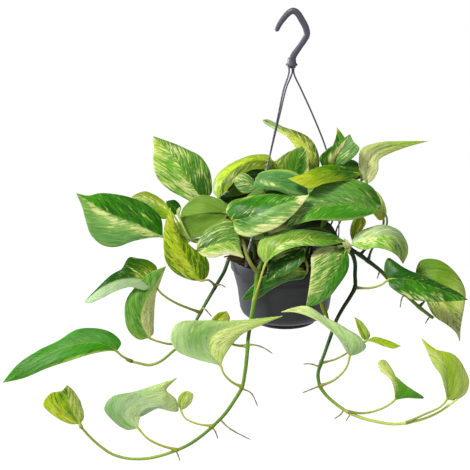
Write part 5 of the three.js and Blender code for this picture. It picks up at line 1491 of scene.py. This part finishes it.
def leaf_finish(name, under):
    """A leaf's skin. Noise drawn out along the veins, in the vein coordinates (mm along the midrib at which
    the vein leaves, mm from the midrib, mm to the margin), is set against the shares of cream, dark green
    and grey-green, which gives patches, streaks and flecks with broken edges. The underside is paler and
    less glossy: its colour is scaled up more than the upper side's, partly for its own paler colour and
    partly as painted light that stands in for light shining through the blade."""
    f = Finish(name, Specular_IOR_Level=0.16)
    along, across, edge = f.split(f.attribute("vein"))
    cream, dark, seed = f.split(f.attribute("marble", "Color"))
    grey = f.attribute("marble", "Alpha")
    away = across.size()
    sheet = seed * 57 + across.sign() * 6.5

    def cloud(long, wide, layer, detail=3.0):
        """Noise whose lumps are about `long` by `wide` mm in the vein coordinates, from -0.5 to 0.5."""
        return f.noise(f.vector(along / long, away / wide, sheet + layer), 1.0, detail, 0.62) - 0.5

    patch, streak, other = cloud(17, 13, 0), cloud(5.5, 8.5, 11), cloud(4.2, 7, 51)
    fine, fleck = cloud(2.1, 4.2, 23), cloud(1.0, 2.2, 37, 2.0)

    def marbled(share, noise, gain):
        """Where the share, shaken by noise, passes one half."""
        return ((share + noise - 0.5) * gain + 0.5).clamped()

    shade = 1 + other * 0.9 - patch * 0.6 + fine * 0.4 + fleck * 0.6
    ground = f.scaled(f.attribute("tone", "Color"), shade)
    ground = f.mix(marbled(grey, other * 2.4 + fine * 1.6, 2.6) * 0.75, ground, GREY_GREEN)
    ground = f.mix(marbled(dark, fleck * 1.8 - streak * 1.8 + other, 3.2) * 0.88, ground, DARK_GREEN)
    pale = f.mix((fleck * 2.6 + cream * 0.9 + 0.15).clamped(), CREAM_GREEN, CREAM)
    skin = f.mix(marbled(cream, patch * 1.2 + streak * 2.0 + fine * 1.7, 4.0) * 0.94, ground, pale)
    skin = f.mix(marbled(cream - 0.12, fleck * 2.4 + fine * 1.8, 4.0) * 0.6, skin, pale)
    flecks = ((fleck * 1.2 - other - 0.07) * 7).clamped() * (cream + 0.35).clamped()
    skin = f.mix(flecks * 0.6, skin, FLECK_GREEN)
    pitch = VEIN_PITCH / MM
    vein = (1 - (along + fine * 1.6).wrapped(pitch) * pitch / 0.6).clamped()
    rib = (1.3 - away / 0.5).clamped()
    skin = f.mix(vein * 0.1, skin, VEIN_GREEN)
    skin = f.mix(rib * (0.15 if under else 0.3), skin, RIB_GREEN)
    skin = f.mix((1 - edge / 0.8).clamped() * 0.3, skin, MARGIN_GREEN)
    relief = fine * 0.25 + fleck * 0.15 - vein * 0.35 - rib * (-0.5 if under else 0.5)
    f.bump(relief + 0.7, 0.35 * MM, 0.6)
    # Painted light: the underside's larger colour scale stands in partly for light shining through the blade
    if under:
        skin = f.mix(0.16, skin, UNDERSIDE_GREEN)
        return f.end(Base_Color=f.scaled(skin, 0.68), Roughness=0.6 + fine * 0.12)
    return f.end(Base_Color=f.scaled(skin, 0.57), Roughness=0.42 + fine * 0.12 + fleck * 0.06)


def stem_finish(name):
    """A stem's skin: its tint with fine streaks along it, paler freckles and faint lengthwise ridges."""
    f = Finish(name, Specular_IOR_Level=0.2)
    along, turn, _ = f.split(f.attribute("vein"))
    streak = f.noise(f.vector(along * 0.05, turn * 9, 0.0), 1.0, 3.0, 0.6)
    freckle = f.noise(f.place(), 900.0, 2.0, 0.6)
    skin = f.scaled(f.attribute("tone", "Color"), 0.62 + streak * 0.5 + freckle * 0.26)
    skin = f.mix(((freckle - 0.62) * 6).clamped() * 0.35, skin, FRECKLE_GREEN)
    f.bump(streak * 0.6 + freckle * 0.4, 0.2 * MM, 0.6)
    return f.end(Base_Color=f.scaled(skin, 0.62), Roughness=0.4 + freckle * 0.2)


def root_finish(name):
    """Aerial roots: dry, matt and fibrous, from tan to brown."""
    f = Finish(name, Specular_IOR_Level=0.3)
    grain = f.noise(f.place(), 1400.0, 3.0, 0.7)
    skin = f.scaled(f.attribute("tone", "Color"), 0.5 + grain)
    f.bump(grain, 0.3 * MM, 0.7)
    return f.end(Base_Color=skin, Roughness=0.75 + grain * 0.2)


def plastic_finish(name, base, worn, roughness):
    """Moulded plastic: a faint cloudiness, fine flow lines down the wall, and dull scuffs in places."""
    f = Finish(name, Specular_IOR_Level=0.3)
    place = f.place()
    cloud = f.noise(place, 18.0, 3.0, 0.5)
    flow = f.noise(f.mapped(place, Scale=(220, 220, 9)), 1.0, 3.0, 0.6)
    grain = f.noise(place, 2600.0, 2.0, 0.6)
    scuff = ((f.noise(place, 70.0, 5.0, 0.75) - 0.56) * 8).clamped()
    skin = f.mix(cloud * 0.5 + flow * 0.3 - 0.1, base, worn)
    skin = f.mix(scuff * 0.25, skin, worn)
    f.bump(grain * 0.5 + flow * 0.3, 0.05 * MM, 0.5)
    return f.end(Base_Color=skin, Roughness=roughness + cloud * 0.12 + scuff * 0.15)


def soil_finish(name):
    """Peaty mix: near-black ground, brown fibres and pale specks."""
    f = Finish(name, Specular_IOR_Level=0.25)
    place = f.place()
    clump = f.noise(place, 160.0, 4.0, 0.65)
    crumb = f.noise(place, 900.0, 3.0, 0.7)
    fibre = f.noise(f.mapped(place, Rotation=(0, 0, 0.6), Scale=(120, 900, 300)), 1.0, 3.0, 0.6)
    skin = f.mix((clump * 2 - 0.5).clamped(), solid(34, 24, 18), solid(82, 60, 42))
    skin = f.mix(((fibre - 0.58) * 9).clamped() * 0.7, skin, solid(124, 92, 60))
    skin = f.mix(((crumb - 0.7) * 12).clamped(), skin, solid(176, 160, 132))
    f.bump(clump * 0.6 + crumb * 0.4, 1.2 * MM, 0.9)
    return f.end(Base_Color=skin, Roughness=0.85 + crumb * 0.1)


LEAF = leaf_finish("leaf_upper_side", False)
LEAF_UNDER = leaf_finish("leaf_underside", True)
STEM = stem_finish("green_stem")
AERIAL = root_finish("aerial_root")
POT = plastic_finish("pot_plastic_dark_grey", solid(22, 25, 27), solid(31, 35, 38), 0.42)
HANGER = plastic_finish("hanger_plastic_slate", solid(46, 46, 56), solid(70, 70, 82), 0.38)
SOIL = soil_finish("peaty_soil")

# Each stem's colours at shares of its length from the soil, and its leafstalks' at the stem and the blade
STEM_COLOURS = {
    "vine_left": (
        [(0, (30, 62, 22)), (0.45, (40, 76, 28)), (0.64, (84, 118, 36)), (0.8, (112, 138, 42)),
         (1, (150, 172, 76))],
        ((98, 92, 34), (146, 162, 56)),
    ),
    "vine_front": (
        [(0, (40, 78, 20)), (0.15, (46, 92, 18)), (0.2, (100, 142, 26)), (0.3, (90, 132, 24)),
         (0.68, (84, 120, 22)), (0.74, (124, 156, 44)), (1, (130, 154, 48))],
        ((156, 160, 36), (182, 188, 70)),
    ),
    "vine_right": (
        [(0, (32, 56, 18)), (0.4, (40, 76, 20)), (0.54, (60, 98, 24)), (0.62, (118, 156, 50)),
         (0.72, (184, 204, 88)), (1, (202, 216, 108))],
        ((118, 124, 46), (162, 180, 72)),
    ),
    "vine_far_right": (
        [(0, (32, 56, 18)), (0.5, (46, 74, 20)), (0.66, (92, 124, 34)), (1, (112, 146, 44))],
        ((60, 82, 22), (112, 140, 36)),
    ),
    "crown_left": ([(0, (34, 62, 14)), (1, (96, 130, 40))], ((134, 160, 66), (170, 196, 92))),
    "crown_left_inner": ([(0, (34, 62, 14)), (1, (110, 140, 50))], ((150, 176, 80), (178, 206, 104))),
    "stalk_over_rim": (
        [(0, (90, 96, 30)), (0.7, (116, 106, 40)), (1, (80, 50, 24))], ((110, 96, 40), (90, 66, 30)),
    ),
    "stalk_near_right_arm": ([(0, (34, 24, 12)), (1, (60, 44, 24))], ((60, 60, 24), (190, 190, 120))),
    "stalk_beside_arm": ([(0, (34, 24, 12)), (1, (54, 34, 34))], ((60, 60, 24), (60, 60, 24))),
    "dry_stalk_at_left_rim": ([(0, (60, 40, 20)), (1, (110, 76, 36))], ((90, 66, 30), (90, 66, 30))),
}
CROWN_COLOURS = ([(0, (34, 62, 14)), (1, (84, 118, 28))], ((84, 104, 28), (134, 150, 46)))

for name, shoot in {**SHOOTS, **INNER_SHOOTS}.items():
    stem_colours, stalk_colours = STEM_COLOURS.get(name, CROWN_COLOURS)
    plant = Surface()
    stem(plant, shoot, stem_colours)
    for part, leaf in shoot.leaves.items():
        coat = COATS[name][part]
        leafstalk(plant, leaf, shoot, coat, [colour(*shade) for shade in coat.stalk or stalk_colours])
        blade(plant, leaf, coat)
    for places in shoot.roots:
        aerial_root(plant, shoot, places)
    solids = [name] if name in SHOOTS else []
    piece(f"{name}_foliage", plant, [LEAF, LEAF_UNDER, STEM, AERIAL], "foliage", *solids)

# Pot, in mm from its axis and down from the top of its rim

WALL = 1.4
FLANGE_THICKNESS = 2
SKIRT_DEPTH = 14
SKIRT_DRAFT = 0.7
RIM_RADIUS = 66.3
WALL_OUTSIDE = [
    (62.6, 2), (62.2, 21), (60.2, 28), (57.6, 39), (55.4, 57), (54.3, 64), (52, 69), (48.2, 72.4), (42, 75),
]
BOTTOM_DEPTH = 70
FOOT_RADIUS = 38.6
FOOT_INSIDE = 30
POT_DEPTH = 80.5
FOOT_RISE = 3
FOOT_GROOVE = 2.2
CORNER = 1.2

wall_inside = [(r - WALL, -depth + (WALL if depth > BOTTOM_DEPTH else 0)) for r, depth in WALL_OUTSIDE]
floor_level = -POT_DEPTH + FOOT_RISE
pot_profile = [
    (0, floor_level),
    (FOOT_INSIDE, floor_level),
    (FOOT_INSIDE, -POT_DEPTH),
    (FOOT_RADIUS, -POT_DEPTH),
    (FOOT_RADIUS, -WALL_OUTSIDE[-1][1] - FOOT_GROOVE),
    (FOOT_RADIUS - FOOT_GROOVE, -WALL_OUTSIDE[-1][1] - FOOT_GROOVE),
    (FOOT_RADIUS - FOOT_GROOVE, -WALL_OUTSIDE[-1][1]),
    *[(r, -depth) for r, depth in reversed(WALL_OUTSIDE)],
    (RIM_RADIUS - WALL, -FLANGE_THICKNESS),
    (RIM_RADIUS - WALL - SKIRT_DRAFT, -SKIRT_DEPTH),
    (RIM_RADIUS - SKIRT_DRAFT, -SKIRT_DEPTH),
    (RIM_RADIUS, 0),
    (wall_inside[0][0], 0),
    *wall_inside,
    (0, wall_inside[-1][1]),
]
pot_centre = np.array([POT_AXIS_X, 0, RIM_Z])
pot = Surface()
pot.add(*lathe(rounded(pot_profile, CORNER) * MM, 160, pot_centre))
nursery_pot = piece("nursery_pot", pot, [POT], "pot_plastic", "pot")

DRAIN_HOLES = 6
DRAIN_RADIUS = 3
DRAIN_CIRCLE = 18
THROUGH = 9  # how far a cutter reaches past the middle of the floor
SHARP_ANGLE = np.radians(35)
ARM_CIRCLE = 63.3
FIT_GAP = 0.3
ARM_LOW_HALVES = np.array([0.7, 2.4, 2 * FLANGE_THICKNESS])  # half its depth, width and height in its slot
# Each arm's direction from the pot's axis, in degrees from +X, how far it bows outward, and where it leaves
# the collar, in mm from its axis
ARMS = {
    "arm_right": (0, 16, (2.5, 0)),
    "arm_back_left": (134, 0, (0.6, 1.8)),
    "arm_front_left": (222, 0, (-3.2, -1.0)),
}


def box(centre, axes, halves, soft=0.15):
    """A box as a tube of eight-cornered rings along its last axis, with edges cut by `soft` of a half."""
    near = 1 - soft
    corners = np.array([(-1, -near), (-near, -1), (near, -1), (1, -near),
                        (1, near), (near, 1), (-near, 1), (-1, near)])
    across = corners[:, :1] * axes[0] * halves[0] + corners[:, 1:] * axes[1] * halves[1]
    steps = np.array([(-1, near), (-near, 1), (near, 1), (1, near)])[..., None, None]
    rings = centre + steps[:, 1] * across + steps[:, 0] * axes[2] * halves[2]
    return closed_rings(rings, centre - axes[2] * halves[2], centre + axes[2] * halves[2])


def directions(degrees):
    """Outward, sideways and up, for an arm."""
    angle = np.radians(degrees)
    return np.array([(np.cos(angle), np.sin(angle), 0), (-np.sin(angle), np.cos(angle), 0), (0, 0, 1)])


openings = Surface()
for turn in 2 * np.pi * np.arange(DRAIN_HOLES) / DRAIN_HOLES:
    hole = np.array([DRAIN_CIRCLE * np.cos(turn), DRAIN_CIRCLE * np.sin(turn), floor_level]) * MM
    hole_profile = [(0, -THROUGH), (DRAIN_RADIUS, -THROUGH), (DRAIN_RADIUS, THROUGH), (0, THROUGH)]
    openings.add(*lathe(np.array(hole_profile) * MM, 32, hole + pot_centre))
for degrees, _, _ in ARMS.values():
    axes = directions(degrees)
    openings.add(*box(axes[0] * ARM_CIRCLE * MM + pot_centre, axes, (ARM_LOW_HALVES + FIT_GAP) * MM, 0))
cutter = bpy.data.objects.new("openings", openings.mesh("openings", []))
bpy.context.scene.collection.objects.link(cutter)
cut = nursery_pot.modifiers.new("openings", "BOOLEAN")
cut.object = cutter
drained = bpy.data.meshes.new_from_object(nursery_pot.evaluated_get(bpy.context.evaluated_depsgraph_get()))
drained.set_sharp_from_angle(angle=SHARP_ANGLE)
nursery_pot.modifiers.clear()
nursery_pot.data = drained
bpy.data.objects.remove(cutter)

# Soil, in mm

SOIL_RADIUS = 60.0
SOIL_EDGE_DROP = 1.5
SOIL_DOME = 4
SOIL_BUMPS = 1.3
SOIL_UNDERSIDE = -16.0
CRUMBS = 0.22


def soil_surface():
    """A disc of rings whose height is the solid's dome and lumps, plus crumbs: |sum of 40 waves
    sin(p (x cos(a) + y sin(a)) + q) of random direction a, pitch p and phase q|, which has rounded lumps and
    sharp hollows. Its edge turns down inside the wall and closes below."""
    rows, columns, count = 70, 200, 40
    radius = SOIL_RADIUS * np.linspace(1, 0.01, rows)[:, None]
    angle = 2 * np.pi * np.arange(columns)[None] / columns
    x, y = radius * np.cos(angle), radius * np.sin(angle)
    dome = SOIL_DOME * (1 - (x**2 + y**2) / RIM_RADIUS**2)
    lumps = np.sin(x * 0.31 + 1.3) * np.cos(y * 0.27) + 0.6 * np.sin(x * 0.17 - y * 0.41)
    rng = np.random.default_rng(7)
    turns, pitches = rng.uniform(0, np.pi, count), rng.uniform(0.9, 2.6, count)
    phases = rng.uniform(0, 2 * np.pi, count)
    waves = sum(
        np.sin(pitch * (x * np.cos(turn) + y * np.sin(turn)) + phase)
        for turn, pitch, phase in zip(turns, pitches, phases)
    )
    z = -SOIL_DEPTH / MM + dome + SOIL_BUMPS * lumps + np.abs(waves) * CRUMBS
    z = z - SOIL_EDGE_DROP * (radius / SOIL_RADIUS) ** 8
    top = np.stack([x, y, z], axis=2)
    below = top[:1].copy()
    below[..., 2] = SOIL_UNDERSIDE
    rings = np.concatenate([below, top])
    points, quads, tris = closed_rings(rings, np.array([0, 0, SOIL_UNDERSIDE]), rings[-1].mean(axis=0))
    return points * MM + pot_centre, quads, tris


soil = Surface()
soil.add(*soil_surface())
piece("potting_soil", soil, [SOIL], "soil", "soil")

# Hanger, in mm

HOOK_LINE = [
    (-19, -20), (-14.5, -11), (-8, -2.2), (-3.5, 2), (0.5, 3.6), (5, 1.2), (10.5, -7), (15.4, -16.5),
    (16.4, -24), (12.6, -31.5), (6.8, -40), (1.5, -48), (-0.3, -54), (-0.5, -60),
]
HOOK_END = 3.0  # how far from its end the hook's bar rounds off
HOOK_FLATTENED = 0.8  # how deep the bar is for its height
COLLAR_PROFILE = [(0, -2.5), (4.6, -2.5), (5, 0), (6.8, 0.4), (6.8, 2), (5.4, 2.8), (4.6, 9), (0, 9)]
ARM_IN_COLLAR = 5
ARM_STRAIGHT = (4, 11)  # an arm runs straight down out of the collar past these depths
ARM_BOW = [(0.13, 0.1), (0.26, 0.52), (0.43, 0.93), (0.62, 1), (0.82, 0.66)]  # shares of its way and its bow
ARM_ABOVE_RIM = 9
ARM_BELOW_RIM = 3
CATCH_DEPTH = 3.3
CATCH_HALVES = np.array([0.7, 3.9, 1.0])  # the catch that holds an arm below the flange

hanger = Surface()
hook_line = Line([(x * MM, 0, z * MM) for x, z in HOOK_LINE])
share = np.linspace(0, 1, 150)
# Half the bar's height: fuller at its middle, and wider again where it runs into the collar
hook_half = 2.7 + 1.1 * np.sin(np.pi * np.minimum(1, share * 1.1)) + 7.6 * np.maximum(0, share - 0.75)
rounding = np.clip(share * hook_line.length / (HOOK_END * MM), 0.004, 1)
hook_half = hook_half * MM * np.sqrt(rounding * (2 - rounding))
sideways = np.array([0, 1.0, 0])
hanger.add(*tube(hook_line.at(share), HOOK_FLATTENED * hook_half, 32, 1 / HOOK_FLATTENED, sideways))
collar_centre = np.array([COLLAR_X, 0, COLLAR_BOTTOM - COLLAR_PROFILE[0][1] * MM])
hanger.add(*lathe(rounded(COLLAR_PROFILE, 0.5) * MM, 64, collar_centre))
piece("hanger_hook", hanger, [HANGER], "hanger_plastic", "hook")


def arm(degrees, bow, leaves_at):
    """An arm: a round rod at the collar that flattens into a strip and bows outward on its way to the rim,
    and the place where it meets the top of the rim."""
    out, across, up = directions(degrees)
    top = np.array([*leaves_at, ARM_IN_COLLAR]) * MM + np.array([COLLAR_X, 0, COLLAR_BOTTOM])
    low = out * ARM_CIRCLE * MM + pot_centre
    straight = [top - up * depth * MM for depth in ARM_STRAIGHT]
    bowed = [top + (low - top) * way + out * bow * MM * share for way, share in ARM_BOW]
    line = Line([top, *straight, *bowed, low + up * ARM_ABOVE_RIM * MM, low - up * ARM_BELOW_RIM * MM])
    t = np.linspace(0, 1, 120)
    widen = np.clip((t - 0.35) / 0.45, 0, 1)
    widen = widen**2 * (3 - 2 * widen)
    wide, deep = (1 + (ARM_LOW_HALVES[k] - 1) * widen for k in (1, 0))
    return tube(line.at(t), wide * MM, 20, deep / wide, across), low


for name, (degrees, bow, leaves_at) in ARMS.items():
    rod = Surface()
    shape, low = arm(degrees, bow, leaves_at)
    rod.add(*shape)
    rod.add(*box(low - np.array([0, 0, CATCH_DEPTH]) * MM, directions(degrees), CATCH_HALVES * MM))
    piece(f"{name}_strip", rod, [HANGER], "hanger_plastic", name)

# Floor, lights and camera

FLOOR_Z = -4.0
FLOOR_REACH = 80.0
BACKDROP_RADIUS = 12.0

floor = bpy.data.objects.new("pale_floor", bpy.data.meshes.new("pale_floor"))
floor_corners = np.array([(-1, -1), (1, -1), (1, 1), (-1, 1)]) * FLOOR_REACH
floor.data.from_pydata([(x, y, FLOOR_Z) for x, y in floor_corners.tolist()], [], [(0, 1, 2, 3)])
floor.data.materials.append(
    Finish("floor_white", Roughness=1.0, Base_Color=(0.6, 0.6, 0.6, 1), Specular_IOR_Level=0.0,
           Emission_Color=(1, 1, 1, 1), Emission_Strength=0.84).material
)
bpy.context.scene.collection.objects.link(floor)

# A pale dome round floor and plant. It is seen by the camera alone, so the light comes from the studio only.
turns = np.linspace(-np.pi / 2, np.pi / 2, 41)
dome = Surface()
half_circle = np.stack([np.cos(turns).round(9), np.sin(turns)], axis=1)
dome.add(*lathe(BACKDROP_RADIUS * half_circle, 80, np.zeros(3)))
white = Finish("backdrop_white", Roughness=1.0, Base_Color=(0, 0, 0, 1), Specular_IOR_Level=0.0,
               Emission_Color=(1, 1, 1, 1), Emission_Strength=1.0).material
backdrop = bpy.data.objects.new("pale_backdrop", dome.mesh("pale_backdrop", [white]))
backdrop.visible_diffuse = False
backdrop.visible_glossy = False
backdrop.visible_transmission = False
backdrop.visible_volume_scatter = False
backdrop.visible_shadow = False
bpy.context.scene.collection.objects.link(backdrop)


def soft_light(name, place, size, power, tint=(1, 1, 1)):
    lamp = bpy.data.lights.new(name, "AREA")
    lamp.shape, lamp.size, lamp.energy, lamp.color = "DISK", size, power, tint
    made = bpy.data.objects.new(name, lamp)
    made.location = place
    aim = PICTURE_CENTRE - np.array(place)
    made.rotation_euler = Vector(aim).to_track_quat("-Z", "Y").to_euler()
    bpy.context.scene.collection.objects.link(made)


soft_light("key_soft", (-1.4, -1.9, 2.3), 0.9, 238, (1.0, 0.965, 0.88))
soft_light("fill_soft", (2.2, -1.6, 0.8), 1.8, 10)
soft_light("edge_left", (-2.0, 0.5, 0.0), 0.7, 100, (0.9, 0.92, 1.0))

world = bpy.data.worlds.new("white_studio")
world.use_nodes = True
world.node_tree.nodes["Background"].inputs["Color"].default_value = (1, 1, 1, 1)
world.node_tree.nodes["Background"].inputs["Strength"].default_value = 0.3
bpy.context.scene.world = world
bpy.context.scene.view_settings.view_transform = "Standard"

camera = bpy.data.objects.new("camera", bpy.data.cameras.new("camera"))
camera.data.sensor_width = SENSOR
camera.data.lens = SENSOR * EYE_DISTANCE / PICTURE_SIDE
camera.location = EYE
camera.rotation_euler = (np.pi / 2 - EYE_ELEVATION, 0, 0)
bpy.context.scene.collection.objects.link(camera)
bpy.context.scene.camera = camera
